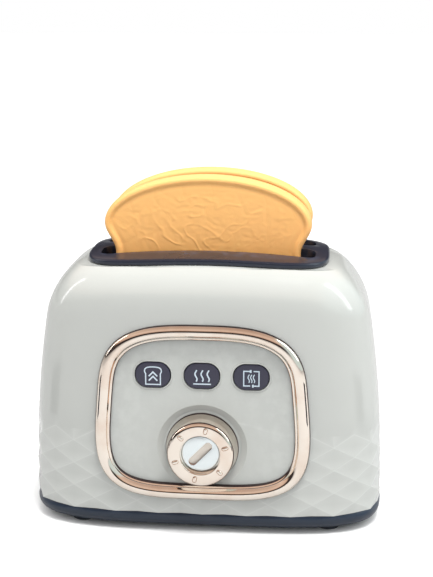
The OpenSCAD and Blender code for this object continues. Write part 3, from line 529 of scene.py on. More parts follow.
def brushed(name, colour, dark, centre):
    """A disc that was turned on a lathe: fine rings about its centre."""
    m, t, b = new_material(name)
    pos = add(t, "TexCoord").outputs["Object"]
    to_centre = (-centre[0] * MM, -(centre[1] + MID_Y) * MM, -centre[2] * MM)
    moved = add(t, "Mapping", Vector=pos, Location=to_centre)
    rings = add(t, "TexWave", Vector=moved.outputs[0], Scale=420.0, Distortion=0.4, Detail=2.0,
                _wave_type="RINGS", _rings_direction="Y")
    tone = mix(t, rings.outputs[1], dark, colour)
    marks = place(t, HANDLED)
    rough = calc(t, "MULTIPLY_ADD", marks.outputs["Smudges"], 0.1, 0.22)
    height = add(t, "Bump", Height=rings.outputs[1], Strength=0.08, Distance=0.0002)
    set_inputs(t, b, Base_Color=tone, Roughness=rough, Normal=height.outputs[0], Metallic=1.0)
    return m


def toasted(name):
    """Play bread: a face that pales upwards, paler edges that paint a highlight along the crust, soft
    wrinkles and small pores.
    """
    m, t, b = new_material(name)
    pos = add(t, "TexCoord").outputs["Object"]
    split = add(t, "SeparateXYZ", Vector=pos)
    low = add(t, "MapRange", Value=split.outputs["Z"], i1=0.130, i2=0.172)
    cloud = add(t, "TexNoise", Vector=pos, Scale=28.0, Detail=4.0)
    wrinkle = add(t, "TexVoronoi", Vector=pos, Scale=75.0, _feature="DISTANCE_TO_EDGE")
    crease = add(t, "MapRange", Value=wrinkle.outputs[0], i1=0.0, i2=0.12)
    pores = add(t, "TexVoronoi", Vector=pos, Scale=620.0)
    pit = add(t, "MapRange", Value=pores.outputs[0], i1=0.0, i2=0.35)
    low_colour, high_colour, cloud_colour = rgb(216, 148, 84), rgb(240, 186, 116), rgb(234, 178, 106)
    warm = mix(t, low.outputs[0], low_colour, high_colour)
    mottled = mix(t, cloud.outputs[0], warm, cloud_colour)
    # painted highlight: the crust's convex crest is made paler, standing in for the light line it catches
    edge = place(t, EDGE_WEAR_AND_HIGHLIGHT, Amount=0.35, Sharpness=8.0)
    pale = rgb(244, 202, 134)
    rim = mix(t, edge.outputs["Mask"], mottled, pale)
    rough = add(t, "MapRange", Value=cloud.outputs[0], i1=0.3, i2=0.7, i3=0.42, i4=0.58)
    deep = calc(t, "MULTIPLY_ADD", pit.outputs[0], 0.12, crease.outputs[0])
    height = add(t, "Bump", Height=deep, Strength=0.12, Distance=0.0006)
    set_inputs(t, b, Base_Color=rim, Roughness=rough.outputs[0], Normal=height.outputs[0],
               Subsurface_Weight=0.08, Subsurface_Radius=(0.004, 0.002, 0.001))
    return m


# The housing's ridge colour is a painted highlight on the facets' bevelled ridges.
CREAM = plastic(
    "glossy cream housing", rgb(182, 183, 179), rgb(175, 177, 173), rgb(194, 195, 191), 0.16,
    coat=0.6, scuffs=0.15, bump=0.012, ridge=rgb(193, 195, 191),
)
PANEL = plastic(
    "satin cream panel", rgb(186, 188, 184), rgb(181, 183, 179), rgb(198, 200, 196), 0.34,
    peel=2400.0, scuffs=0.2, bump=0.03,
)
NAVY = plastic(
    "dark blue base plastic", rgb(29, 41, 58), rgb(23, 34, 49), rgb(66, 78, 98), 0.3, coat=0.1, scuffs=0.5
)
COLLAR = plastic(
    "dark collar plastic", rgb(27, 34, 50), rgb(20, 26, 40), rgb(62, 72, 92), 0.24, coat=0.2, scuffs=0.3
)
BUTTON = plastic(
    "button plastic", rgb(56, 55, 71), rgb(49, 48, 64), rgb(84, 84, 100), 0.38, peel=2000.0, scuffs=0.2
)
PRINT = plastic(
    "pale button print", rgb(198, 212, 222), rgb(184, 200, 212), rgb(208, 218, 226), 0.5, peel=3000.0
)
PAD = plastic(
    "rubber foot", rgb(34, 40, 50), rgb(26, 31, 40), rgb(58, 64, 74), 0.62, peel=1600.0, peel_height=0.9
)
PALE = plastic(
    "pale inner plastic", rgb(222, 222, 216), rgb(210, 210, 204), rgb(236, 236, 232), 0.42, peel=1400.0
)
TOAST = toasted("toasted play bread")
ROSE = metal("rose chrome", rgb(244, 233, 221), rgb(233, 213, 197), 0.05)
EDGE_SHADE = metal("chrome edge in painted shade", rgb(92, 76, 76), rgb(66, 54, 58), 0.3)
RECESS = metal("pointer recess floor", rgb(226, 218, 208), rgb(206, 194, 182), 0.3)
RECESS_WALL_SHADE = metal("pointer recess wall in painted shade", rgb(190, 158, 140), rgb(150, 118, 102), 0.3)
SILVER = brushed("turned silver disc", rgb(242, 248, 249), rgb(230, 238, 240), (0, KNOB_FACE_Y, KNOB_Z))
STEEL = metal("zinc plated steel", rgb(196, 199, 204), rgb(160, 163, 168), 0.28, hairlines=0.6)
SPRING = metal("drawn spring wire", rgb(172, 174, 178), rgb(130, 131, 134), 0.24, hairlines=0.8)
BRASS = metal("stamped brass", rgb(222, 190, 112), rgb(184, 148, 78), 0.3, hairlines=0.6)


# ---- housing ----

def facet_rows():
    """Rows of the diamond band. Ridges lie on the plan curve, and the points between them are pushed in."""
    plan = unit_plan(FACET_COLS)
    rows = []
    for k in range(FACET_ROWS + 1):
        z = SEAM_Z + k * FACET_H
        on_curve = [wall_at(u, z, 0) for u in plan]
        row = []
        for i in range(FACET_COLS):
            if (i + k) % 2 == 1 and k < FACET_ROWS:
                depth = FACET_IN * min(1.0, 0.55 + 0.2 * (FACET_ROWS - 1 - k))
                row.append(wall_at(plan[i], z, depth))
            else:
                row.append(on_curve[i])
        rows.append(row)
    return rows


def housing():
    """One shell: the faceted band, the walls, the rounded top, the collar's seat and the inside."""
    per = PER_FACET
    n = FACET_COLS * per
    plan = unit_plan(n)
    band = facet_rows()
    verts = [p for r in band[:-1] for p in r]
    faces = []
    for k in range(FACET_ROWS - 1):
        for i in range(FACET_COLS):
            j = (i + 1) % FACET_COLS
            a, b = k * FACET_COLS + i, k * FACET_COLS + j
            c, d = b + FACET_COLS, a + FACET_COLS
            faces += [(a, b, c), (a, c, d)] if (i + k) % 2 == 0 else [(a, b, d), (b, c, d)]
    top = len(verts)
    for i in range(FACET_COLS):
        p, q = band[-1][i], band[-1][(i + 1) % FACET_COLS]
        verts += [tuple(lerp(p[c], q[c], f / per) for c in range(3)) for f in range(per)]
    k = FACET_ROWS - 1
    for i in range(FACET_COLS):
        j = (i + 1) % FACET_COLS
        a, b = k * FACET_COLS + i, k * FACET_COLS + j
        edge = [top + (per * i + f) % n for f in range(per + 1)]
        if (i + k) % 2 == 0:
            faces += [(a, b, edge[-1]), (a, *edge[::-1])]
        else:
            faces += [(a, b, edge[0]), (b, *edge[::-1])]
    heights = (0.06, 0.15, 0.3, 0.45, 0.6, 0.75, 0.9)
    rows = [[wall_at(u, lerp(BAND_TOP, brow_z(u), f), 0) for u in plan] for f in heights]
    rows += [[brow_at(u, f, 0) for u in plan] for f in range(0, 67, 6)]
    for s, drop in ((1, 0), (-2.7, 0), (-2.7, WALL)):
        rows.append([
            crown_at(u[0] * (COLLAR_A + s), u[1] * (COLLAR_B + s), COLLAR_T + SEAT_GAP + drop) for u in plan
        ])
    rows += [[brow_at(u, f, WALL) for u in plan] for f in (60, 45, 30, 15, 0)]
    rows += [[wall_at(u, z, WALL) for u in plan] for z in (BAND_TOP, SEAM_Z + 0.02)]
    at = top
    for row in rows:
        start = len(verts)
        verts += row
        for i in range(n):
            j = (i + 1) % n
            faces.append((at + i, at + j, start + j, start + i))
        at = start
    for i in range(FACET_COLS):
        inner = [at + (per * i + f) % n for f in range(per + 1)]
        faces.append((i, *inner, (i + 1) % FACET_COLS))
    obj = raw_object("housing_shell", verts, faces)
    bm = bmesh.new()
    bm.from_mesh(obj.data)
    bmesh.ops.recalc_face_normals(bm, faces=bm.faces)
    weight = bm.edges.layers.float.new("bevel_weight_edge")

    def on_ridge(v):
        """Whether a point is a crossing of ridges: in the band's rows, or at the corners of its top row."""
        if v.index >= top:
            return v.index < top + n and (v.index - top) % per == 0
        return (v.index % FACET_COLS + v.index // FACET_COLS) % 2 == 0

    for e in bm.edges:
        a, b = e.verts
        leans = abs(a.co.z - b.co.z) > 0.9 * FACET_H * MM and abs(a.co.xy.length - b.co.xy.length) > 0
        if min(a.index, b.index) < top and leans and on_ridge(a) and on_ridge(b):
            e[weight] = 1.0
    bm.to_mesh(obj.data)
    bm.free()
    m = obj.modifiers.new("ridges", "BEVEL")
    m.width, m.segments, m.limit_method, m.use_clamp_overlap = RIDGE_BEVEL * MM, 2, "WEIGHT", True
    bpy.context.view_layer.update()
    baked(obj)
    line = evenly(bezel_curve(), 240)
    cut(obj, raw_object("opening", *prism_y(inset(line, OPENING_IN), -60, -38)))
    finish_piece(obj, CREAM, "housing", ("body_shell",), 24)
    mark_ridges(obj.data)


def mark_ridges(mesh):
    """Sets the painted-highlight attribute on the narrow bevels between the diamonds, and keeps their edges
    crisp.
    """
    bm = bmesh.new()
    bm.from_mesh(mesh)
    ridge = bm.verts.layers.float.new("ridge")
    narrow = set()
    for f in bm.faces:
        in_band = f.calc_center_median().z < BAND_TOP * MM
        if in_band and f.calc_area() / max(e.calc_length() for e in f.edges) < RIDGE_W * MM:
            narrow.add(f.index)
    for e in bm.edges:
        sides = [f.index in narrow for f in e.link_faces]
        if len(sides) == 2 and sides[0] != sides[1]:
            e.smooth = False
    # painted highlight: full on the bevels, 0.35 where they meet the facets
    for f in bm.faces:
        if f.index in narrow:
            for v in f.verts:
                v[ridge] = 1.0 if all(g.index in narrow for g in v.link_faces) else 0.35
    bm.to_mesh(mesh)
    bm.free()


def base():
    """The tray under the housing: a rounded side, and a rim that follows the lowest row of facets."""
    plan = unit_plan(FACET_COLS * PER_FACET)
    rows = []
    for deg in range(0, 91, 10):
        f = math.radians(deg)
        z, t = BASE_Z + 6.0 * (1 - math.cos(f)), 6.5 * (1 - math.sin(f)) ** 1.15
        rows.append([wall_at(u, z, t) for u in plan])
    kink = facet_rows()[0]
    rim = []
    for i in range(FACET_COLS):
        p, q = kink[i], kink[(i + 1) % FACET_COLS]
        for k in range(PER_FACET):
            f = k / PER_FACET
            rim.append((lerp(p[0], q[0], f), lerp(p[1], q[1], f), SEAM_Z - SEAT_GAP))
    rows.append([(x, y, z - 0.35) for x, y, z in rim])
    rows.append([(x * 0.9975, y * 0.9955, z) for x, y, z in rim])
    verts, faces = loft(rows, (0, 0, BASE_Z), (0, 0, SEAM_Z - SEAT_GAP))
    return mesh_object("base", verts, faces, NAVY, "housing", ("base_tray",), 32)


def collar():
    """The domed collar with its two slots, their sleeves, and the skirt that sits in the housing."""
    plan = unit_plan(FACET_COLS * PER_FACET)

    def row(s, drop):
        return [crown_at(u[0] * (COLLAR_A - s), u[1] * (COLLAR_B - s), drop) for u in plan]

    rows = [row(0.9, COLLAR_T), row(0.35, COLLAR_T - 0.25), row(0.05, COLLAR_T - 0.7), row(0, COLLAR_T - 1.2)]
    for deg in range(0, 91, 15):
        f = math.radians(deg)
        rows.append(row(1.4 * (1 - math.cos(f)), 1.1 * (1 - math.sin(f))))
    rows += [row(f, 0) for f in (4, 9, 16, 24)]
    rows.append([crown_at(u[0] * COLLAR_A * 0.3, u[1] * COLLAR_B * 0.3, 0) for u in plan])
    verts, faces = loft(rows, (0, 0, CROWN_Z - COLLAR_T), (0, 0, CROWN_Z))
    obj = raw_object("collar", verts, faces)
    slots = [
        raw_object(f"slot_{k}", *prism_z(rounded_box(0, y, SLOT_L / 2, SLOT_W / 2, SLOT_CORNER), 120, 150))
        for k, y in enumerate((-SLOT_Y, SLOT_Y))
    ]
    cut(obj, *slots)
    soften(obj, 0.6, 40, 3)
    sleeves = []
    for y in (-SLOT_Y, SLOT_Y):
        outer = rounded_box(0, y, SLOT_L / 2 + SLEEVE_T, SLOT_W / 2 + SLEEVE_T, SLOT_CORNER + SLEEVE_T)
        inner = rounded_box(0, y, SLOT_L / 2 + 0.05, SLOT_W / 2 + 0.05, SLOT_CORNER)
        sleeves.append(tube_z(outer, inner, SLEEVE_FOOT, SLEEVE_TOP))
    skirt = [evenly(super_plan(a, b, 4), 120) for a, b in ((58, 31), (56.4, 29.4))]
    sleeves.append(tube_z(*skirt, 130, 135.2))
    absorb(obj, "sleeves", sleeves)
    return finish_piece(obj, COLLAR, "housing", ("top_collar",), 30)


# ---- bezel and panel ----

def bezel():
    """The chromed ring: its section follows the front wall, and its back lies on the panel."""
    line = evenly(bezel_curve(), 320)
    section = [
        (0.0, 0.1), (0.0, 0.8), (0.35, 1.65), (0.8, 2.25), (1.5, 2.85), (2.3, 3.25),
        (3.1, 3.45), (3.8, 3.48), (4.5, 3.3), (5.2, 2.9), (5.8, 2.35), (6.25, 1.85),
        (6.45, 1.62), (6.6, 1.6), (6.95, 1.42), (7.4, 1.1), (7.62, 0.8), (7.7, 0.4),
    ]
    rows = [[(x, front_y(x) - h, z) for x, z in inset(line, s)] for s, h in section]
    rows.append([(x, PANEL_Y, z) for x, z in inset(line, BEZEL_W)])
    rows.append([(x, PANEL_Y, z) for x, z in inset(line, OPENING_IN)])
    rows.append([(x, front_y(x) - 0.1, z) for x, z in inset(line, OPENING_IN)])
    verts, faces = loft(rows, ring=True)
    obj = mesh_object("bezel", verts, faces, ROSE, "housing", ("bezel_ring",), 38)
    # painted shade: the ring's outermost and innermost strips are dark, a shadow line at the gaps to housing
    # and panel
    last = len(section)
    return paint_strips(obj, EDGE_SHADE, (0, 1, *range(last - 3, last + 3)), len(line))


def button_line(more, x, n=96):
    """Outline of a button about x, grown by more."""
    b = BUTTON_B + more
    outline = rounded_box(0, 0, BUTTON_A + more, b, 0.95 * b, 24)
    return [(px + x, pz + BUTTON_Z) for px, pz in evenly(outline, n)]


def panel():
    """The panel with its dish, its button holes and the thin rims round them."""
    line = inset(evenly(bezel_curve(), 240), OPENING_IN)
    obj = raw_object("panel", *prism_y(line, PANEL_Y, PANEL_BACK))
    cutters = [
        raw_object(f"hole_{k}", *prism_y(button_line(0.4, k * BUTTON_PITCH), -50, -38)) for k in (-1, 0, 1)
    ]
    dish = turned([(22.7, 0.3), (22.4, 0), (22.1, -0.12), (19.6, -1.1), (19.2, -DISH_D)], PANEL_Y, KNOB_Z)
    ends = (0, PANEL_Y + DISH_D, KNOB_Z), (0, PANEL_Y - 0.3, KNOB_Z)
    cutters.append(raw_object("dish", *loft(dish[::-1], *ends)))
    cut(obj, *cutters)
    section = (
        (1.3, 0.5), (1.3, -0.05), (1.12, -0.32), (0.85, -0.45), (0.62, -0.42), (0.45, -0.25), (0.4, 0.5)
    )
    rims = []
    for k in (-1, 0, 1):
        x = k * BUTTON_PITCH
        rims.append(loft(
            [[(a, PANEL_Y + h, b) for a, b in button_line(more, x)] for more, h in section], ring=True
        ))
    absorb(obj, "rims", rims)
    return finish_piece(obj, PANEL, "housing", ("control_panel",), 12)


def button(name, side):
    x = side * BUTTON_PITCH
    rows = [[(a, PANEL_BACK + 1.6, b) for a, b in button_line(0.8, x)],
            [(a, PANEL_BACK + 0.4, b) for a, b in button_line(0.8, x)],
            [(a, PANEL_BACK + 0.4, b) for a, b in button_line(0, x)]]
    for deg in range(0, 91, 15):
        f = math.radians(deg)
        outline = button_line(-0.5 * (1 - math.cos(f)), x)
        rows.append([(a, CAP_Y + 0.5 * (1 - math.sin(f)), b) for a, b in outline])
    verts, faces = loft(rows, (x, PANEL_BACK + 1.6, BUTTON_Z), (x, CAP_Y, BUTTON_Z))
    return mesh_object("cap_" + name, verts, faces, BUTTON, "press_" + name, ("button_" + name,), 30)


def stroke(points, width, y, closed=False):
    """A flat printed line through points in x and z, facing the front."""
    n = len(points)
    left, right = [], []
    for i, (px, pz) in enumerate(points):
        a = points[i - 1] if i or closed else points[i]
        b = points[(i + 1) % n] if i < n - 1 or closed else points[i]
        d1, d2 = Vector((px - a[0], pz - a[1])), Vector((b[0] - px, b[1] - pz))
        d1 = d1.normalized() if d1.length else d2.normalized()
        d2 = d2.normalized() if d2.length else d1
        mid = (d1 + d2).normalized() if (d1 + d2).length > 0.1 else d1
        s = width / 2 / max(0.4, mid.dot(d1))
        left.append((px - mid.y * s, pz + mid.x * s))
        right.append((px + mid.y * s, pz - mid.x * s))
    verts = []
    for (lx, lz), (rx, rz) in zip(left, right):
        verts += [(lx, y, lz), (rx, y, rz), (rx, y - PRINT_T, rz), (lx, y - PRINT_T, lz)]
    faces = []
    for i in range(n if closed else n - 1):
        a, b = 4 * i, 4 * ((i + 1) % n)
        for k in range(4):
            m = (k + 1) % 4
            faces.append((a + k, b + k, b + m, a + m))
    if not closed:
        faces += [(0, 1, 2, 3), (4 * n - 1, 4 * n - 2, 4 * n - 3, 4 * n - 4)]
    return verts, faces


def wave(x, z0, z1, swing, steps=18):
    """A wavy line upwards from z0 to z1."""
    return [
        (x + swing * math.sin(2 * math.pi * k / steps * 1.1 + 0.2), lerp(z0, z1, k / steps))
        for k in range(steps + 1)
    ]


def icons():
    """The prints: a slice with two arrows, three waves over a line, and waves in a broken frame."""
    y = CAP_Y
    x, z = -BUTTON_PITCH + 0.2, BUTTON_Z - 0.4
    bread = [
        (-4.0, -4.8), (4.0, -4.8), (4.0, 1.2), (4.45, 2.0), (4.6, 2.9), (4.3, 3.9), (3.4, 4.6), (2.0, 4.95),
        (0, 5.05), (-2.0, 4.95), (-3.4, 4.6), (-4.3, 3.9), (-4.6, 2.9), (-4.45, 2.0), (-4.0, 1.2),
    ]
    left = [stroke([(x + a, z + b) for a, b in bread], 0.62, y, closed=True)]
    for d in (2.2, -0.3):
        left.append(stroke([(x - 2.3, z + d - 2.4), (x, z + d), (x + 2.3, z + d - 2.4)], 0.75, y))
    x = 0.2
    middle = [stroke(wave(x + a, BUTTON_Z - 2.9, BUTTON_Z + 3.5, 0.55), 0.75, y) for a in (-3.3, 0, 3.3)]
    middle.append(stroke([(x - 4.8, BUTTON_Z - 4.3), (x + 4.8, BUTTON_Z - 4.3)], 0.7, y))
    x, z = BUTTON_PITCH + 0.1, BUTTON_Z - 0.5
    s = 4.1
    right = [
        stroke([(x - 0.9, z + s), (x - s, z + s), (x - s, z - s), (x - 0.6, z - s)], 0.62, y),
        stroke([(x + 1.2, z - s), (x + s, z - s), (x + s, z + s), (x + 1.2, z + s)], 0.62, y),
        stroke([(x - 0.9, z + s), (x + 0.1, z + s)], 1.6, y),
        stroke([(x + 0.4, z - s), (x + 1.3, z - s)], 1.6, y),
    ]
    right += [stroke(wave(x + a, z - 2.3, z + 2.3, 0.38), 0.5, y) for a in (-1.4, 0, 1.4)]
    prints = (("left", -BUTTON_PITCH, left), ("middle", 0.0, middle), ("right", BUTTON_PITCH, right))
    for name, mid_x, parts in prints:
        verts, faces = joined(*parts)
        verts = [(lerp(mid_x, a, ICON_SCALE), b, lerp(BUTTON_Z, c, ICON_SCALE)) for a, b, c in verts]
        obj = mesh_object("print_" + name, verts, faces, PRINT, "press_" + name)
        recalculate(obj)


def recalculate(obj):
    bm = bmesh.new()
    bm.from_mesh(obj.data)
    bmesh.ops.recalc_face_normals(bm, faces=bm.faces)
    bm.to_mesh(obj.data)
    bm.free()


# ---- knob ----

# Points of the dial's profile where a painted shade line starts: round its foot, and between its flank and
# its face
DIAL_LINES = ((18.15, 0.1), (KNOB_R, 0.35), (KNOB_R, 1.0), (18.1, 1.4), (16.55, 9.6))


def knob():
    """The dial, turned from its profile, with the well for the disc in its face."""
    profile = [
        (14.8, DISH_D), (16.3, 0.15), (16.6, 0.0), (17.9, 0.0), (18.15, 0.1), (KNOB_R, 0.35), (KNOB_R, 1.0),
        (18.1, 1.4), (17.9, 1.75), (17.75, 2.2), (16.75, 8.7), (16.55, 9.6), (16.2, 10.35), (15.7, 10.9),
        (15.1, 11.25), (14.4, 11.4), (12.2, 11.42), (10.4, 11.4), (10.1, 11.32), (9.9, 11.1), (9.35, 9.3),
        (9.3, 9.1), (9.3, WELL_FLOOR), (0.5, WELL_FLOOR),
    ]
    rows = turned(profile, KNOB_FOOT_Y, KNOB_Z, DIAL_SEGMENTS)
    ends = (0, KNOB_FOOT_Y - WELL_FLOOR, KNOB_Z), (0, KNOB_FOOT_Y - DISH_D, KNOB_Z)
    obj = raw_object("dial", *loft(rows[::-1], *ends))
    recalculate(obj)
    finish_piece(obj, ROSE, "dial", ("knob",), 36)
    # painted shade: dark lines round the dial's foot and between its flank and its face
    lines = [len(rows) - 2 - k for k, point in enumerate(profile[:-1]) if point in DIAL_LINES]
    return paint_strips(obj, EDGE_SHADE, lines, DIAL_SEGMENTS)


def disc():
    """The turned disc, with the pointer's recess cut across it; its floor is a paler metal and its walls
    darker, a painted shade.
    """
    y, pointer_l, pointer_r = DISC_Y, 5.4, 2.1
    rows = turned([(DISC_R, 0.0), (DISC_R, 2.15), (9.12, 2.33), (8.95, DISC_T)], y + DISC_T, KNOB_Z, 192)
    obj = raw_object("pointer_disc", *loft(rows, (0, y + DISC_T, KNOB_Z), (0, y, KNOB_Z)))
    recalculate(obj)
    a = math.radians(46)
    outline = []
    for side, start in ((1, -90), (-1, 90)):
        for k in range(17):
            t = math.radians(start + 180 * k / 16)
            px, pz = side * pointer_l + pointer_r * math.cos(t), pointer_r * math.sin(t)
            x, z = px * math.cos(a) - pz * math.sin(a), KNOB_Z + px * math.sin(a) + pz * math.cos(a)
            outline.append((x, z))
    cut(obj, raw_object("recess", *prism_y(outline, y - 1, y + 1.6)))
    soften(obj, 0.2, 50, 2)
    finish_piece(obj, SILVER, "dial", ("knob_disc",), 40)
    obj.data.materials.append(RECESS)
    obj.data.materials.append(RECESS_WALL_SHADE)
    low, back = (y + MID_Y + 0.1) * MM, (y + MID_Y + 2.2) * MM
    for f in obj.data.polygons:
        c = f.center
        if low < c.y < back and math.hypot(c.x, c.z - KNOB_Z * MM) < 8 * MM:
            # painted shade: the recess walls get the darker metal
            f.material_index = 1 if abs(f.normal.y) > 0.7 else 2
    return obj


def tick_tree():
    """Raised ticks on a circle: each is a capsule that lies along its radius."""
    t = bpy.data.node_groups.new("dial ticks", "GeometryNodeTree")
    face = t.interface
    for label, kind in (("Count", "Int"), ("Radius", "Float"), ("Length", "Float"), ("Width", "Float"),
                        ("Height", "Float"), ("Turn", "Float"), ("Material", "Material")):
        face.new_socket(label, in_out="INPUT", socket_type="NodeSocket" + kind)
    face.new_socket("Geometry", in_out="OUTPUT", socket_type="NodeSocketGeometry")
    new = t.nodes.new
    link = t.links.new
    i, o = new("NodeGroupInput"), new("NodeGroupOutput")
    ball = new("GeometryNodeMeshUVSphere")
    ball.inputs["Segments"].default_value = 32
    ball.inputs["Rings"].default_value = 16
    ball.inputs["Radius"].default_value = 1.0
    pos = new("GeometryNodeInputPosition")
    split, join = new("ShaderNodeSeparateXYZ"), new("ShaderNodeCombineXYZ")
    link(pos.outputs[0], split.inputs[0])

    def maths(op, a, b):
        n = new("ShaderNodeMath")
        n.operation = op
        for k, v in enumerate((a, b)):
            if isinstance(v, bpy.types.NodeSocket):
                link(v, n.inputs[k])
            else:
                n.inputs[k].default_value = v
        return n.outputs[0]

    half = maths("MULTIPLY", i.outputs["Width"], 0.5)
    straight = maths("MULTIPLY", maths("SUBTRACT", i.outputs["Length"], i.outputs["Width"]), 0.5)
    rounded = maths("MULTIPLY", split.outputs[0], half)
    shift = maths("MULTIPLY", maths("SIGN", split.outputs[0], 0), straight)
    link(maths("ADD", rounded, shift), join.inputs[0])
    link(maths("MULTIPLY", split.outputs[1], half), join.inputs[1])
    link(maths("MULTIPLY", split.outputs[2], i.outputs["Height"]), join.inputs[2])
    shape = new("GeometryNodeSetPosition")
    link(ball.outputs["Mesh"], shape.inputs["Geometry"])
    link(join.outputs[0], shape.inputs["Position"])
    ring = new("GeometryNodeMeshCircle")
    link(i.outputs["Count"], ring.inputs["Vertices"])
    link(i.outputs["Radius"], ring.inputs["Radius"])
    points = new("GeometryNodeMeshToPoints")
    link(ring.outputs[0], points.inputs[0])
    index, angle = new("GeometryNodeInputIndex"), new("ShaderNodeCombineXYZ")
    step = maths("DIVIDE", 2 * math.pi, i.outputs["Count"])
    link(maths("MULTIPLY", index.outputs[0], step), angle.inputs[2])
    many = new("GeometryNodeInstanceOnPoints")
    link(points.outputs[0], many.inputs["Points"])
    link(shape.outputs[0], many.inputs["Instance"])
    link(angle.outputs[0], many.inputs["Rotation"])
    spin, turn = new("GeometryNodeTransform"), new("ShaderNodeCombineXYZ")
    real, paint = new("GeometryNodeRealizeInstances"), new("GeometryNodeSetMaterial")
    link(many.outputs[0], real.inputs[0])
    link(i.outputs["Turn"], turn.inputs[2])
    link(real.outputs[0], spin.inputs[0])
    link(turn.outputs[0], spin.inputs["Rotation"])
    link(spin.outputs[0], paint.inputs[0])
    link(i.outputs["Material"], paint.inputs["Material"])
    link(paint.outputs[0], o.inputs[0])
    return t


def ticks(name, length, width, height, material):
    """Six capsules on the dial's face, or the flat dark capsules under them that paint a shadow round each
    tick.
    """
    obj = raw_object(name, [(0, 0, 0)], [])
    m = obj.modifiers.new("ticks", "NODES")
    tree = tick_tree()
    ident = {s.name: s.identifier for s in tree.interface.items_tree if s.in_out == "INPUT"}
    m.node_group = tree
    for label, value in (("Count", 6), ("Radius", 0.01285), ("Length", length * MM), ("Width", width * MM),
                         ("Height", height * MM), ("Turn", math.radians(78)), ("Material", material)):
        m[ident[label]] = value
    obj.data.update()
    bpy.context.view_layer.update()
    baked(obj, name)
    to_face = Matrix.Translation((0, (KNOB_FACE_Y + MID_Y) * MM, KNOB_Z * MM))
    obj.data.transform(to_face @ Matrix.Rotation(math.pi / 2, 4, "X"))
    recalculate(obj)
    finish_piece(obj, material, "dial")


# ---- slices ----

def slice_piece(name, y, seed, body, node):
    """A play slice: rounded crust, a groove inside it, and a face with a thin wavy network."""
    t = TOAST_T / 2
    mid = TOAST_Z + 48
    crust = [
        (6.4, 0.9), (5.6, 0.98), (4.9, 1.1), (4.3, 1.15), (3.8, 0.95), (3.3, 0.5), (2.8, 0.15), (2.2, 0.0),
        (1.6, 0.08), (1.1, 0.38), (0.7, 0.95), (0.35, 1.8), (0.1, 2.9), (0.0, 4.2), (0.0, 5.2),
    ]
    line = evenly(toast_curve(), 300)
    edge = inset(line, crust[0][0])

    def network(x, z):
        """Height of the face's relief: thin raised lines over a faint unevenness."""
        p = Vector((x * 0.11 + seed, z * 0.15, seed * 2.0))
        bend = 0.7 * noise.noise(p * 0.7 + Vector((3.1, 1.7, 0.4)))
        line_at = abs(noise.noise(p + Vector((bend, -bend, 0.0))))
        return 0.2 * max(0.0, 1 - line_at / 0.07) - 0.2 * abs(noise.noise(p * 2.3))

    def face_row(g, side):
        rise = min(1.0, (1 - g) * 12)
        row = []
        for x, z in edge:
            px, pz = x * g, mid + (z - mid) * g
            row.append((px, y + side * (t - crust[0][1] + rise * network(px, pz)), pz))
        return row

    def crust_row(s, d, side):
        return [(x, y + side * (t - d), z) for x, z in inset(line, s)]

    steps = [k / 70 for k in range(4, 70)]
    rows = [face_row(g, 1) for g in steps] + [crust_row(s, d, 1) for s, d in crust]
    rows += [crust_row(s, d, -1) for s, d in crust[::-1]] + [face_row(g, -1) for g in steps[::-1]]
    tip = t - crust[0][1] + network(0, mid)
    verts, faces = loft(rows, (0, y + tip, mid), (0, y - tip, mid))
    return mesh_object(name, verts, faces, TOAST, body, (node,), 60)


# ---- inside ----

def finish_solids():
    """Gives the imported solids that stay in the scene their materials."""
    finish = {
        PAD: ["feet"],
        PALE: [
            "chassis_front", "chassis_rear", "chassis_left", "chassis_right", "chassis_dividers",
            "carriage", "latch_lever", "reduction_gear", "escape_wheel", "pallet", "button_bracket",
        ],
        STEEL: [
            "guide_rod_left", "guide_rod_right", "timer_spindle", "timer_front_plate", "timer_rear_plate",
            "base_screws", "chassis_screws", "timer_screws", "bracket_screws",
        ],
        SPRING: [
            "carriage_spring_left", "carriage_spring_right", "latch_spring", "mainspring",
            "button_spring_left", "button_spring_middle", "button_spring_right",
        ],
        BRASS: ["timer_cam", "drive_gear"],
    }
    for material, names in finish.items():
        for name in names:
            mesh = nodes[name].data
            mesh.materials.clear()
            mesh.materials.append(material)


# ---- stage ----

def camera():
    """The fitted camera: its place comes from angles and a distance, and it turns to put target on pixel."""
    target, pixel, focal = Vector((0, MID_Y, 80)), (210.7, 354.4), 1236.6
    photo_w, photo_h, sensor, distance = 433, 577, 36, 650
    e, a = math.radians(17), math.radians(5.5)
    back = Vector((math.sin(a) * math.cos(e), -math.cos(a) * math.cos(e), math.sin(e)))
    place_at = target + back * distance
    want = ((pixel[0] - photo_w / 2) / focal, -(pixel[1] - photo_h / 2) / focal)
    f = -back
    for _ in range(30):
        r = f.cross(Vector((0, 0, 1))).normalized()
        u = r.cross(f)
        d = target - place_at
        off = (d.dot(r) / d.dot(f) - want[0], d.dot(u) / d.dot(f) - want[1])
        f = (f + off[0] * r + off[1] * u).normalized()
    r = f.cross(Vector((0, 0, 1))).normalized()
    u = r.cross(f)
    data = bpy.data.cameras.new("camera")
    data.lens, data.sensor_width, data.sensor_fit = focal * sensor / photo_h, sensor, "AUTO"
    data.clip_start, data.clip_end = 0.01, 50
    obj = linked("camera", data)
    turn = Matrix((r, u, -f)).transposed()
    obj.matrix_world = Matrix.Translation(place_at * MM) @ turn.to_4x4()
    bpy.context.scene.camera = obj


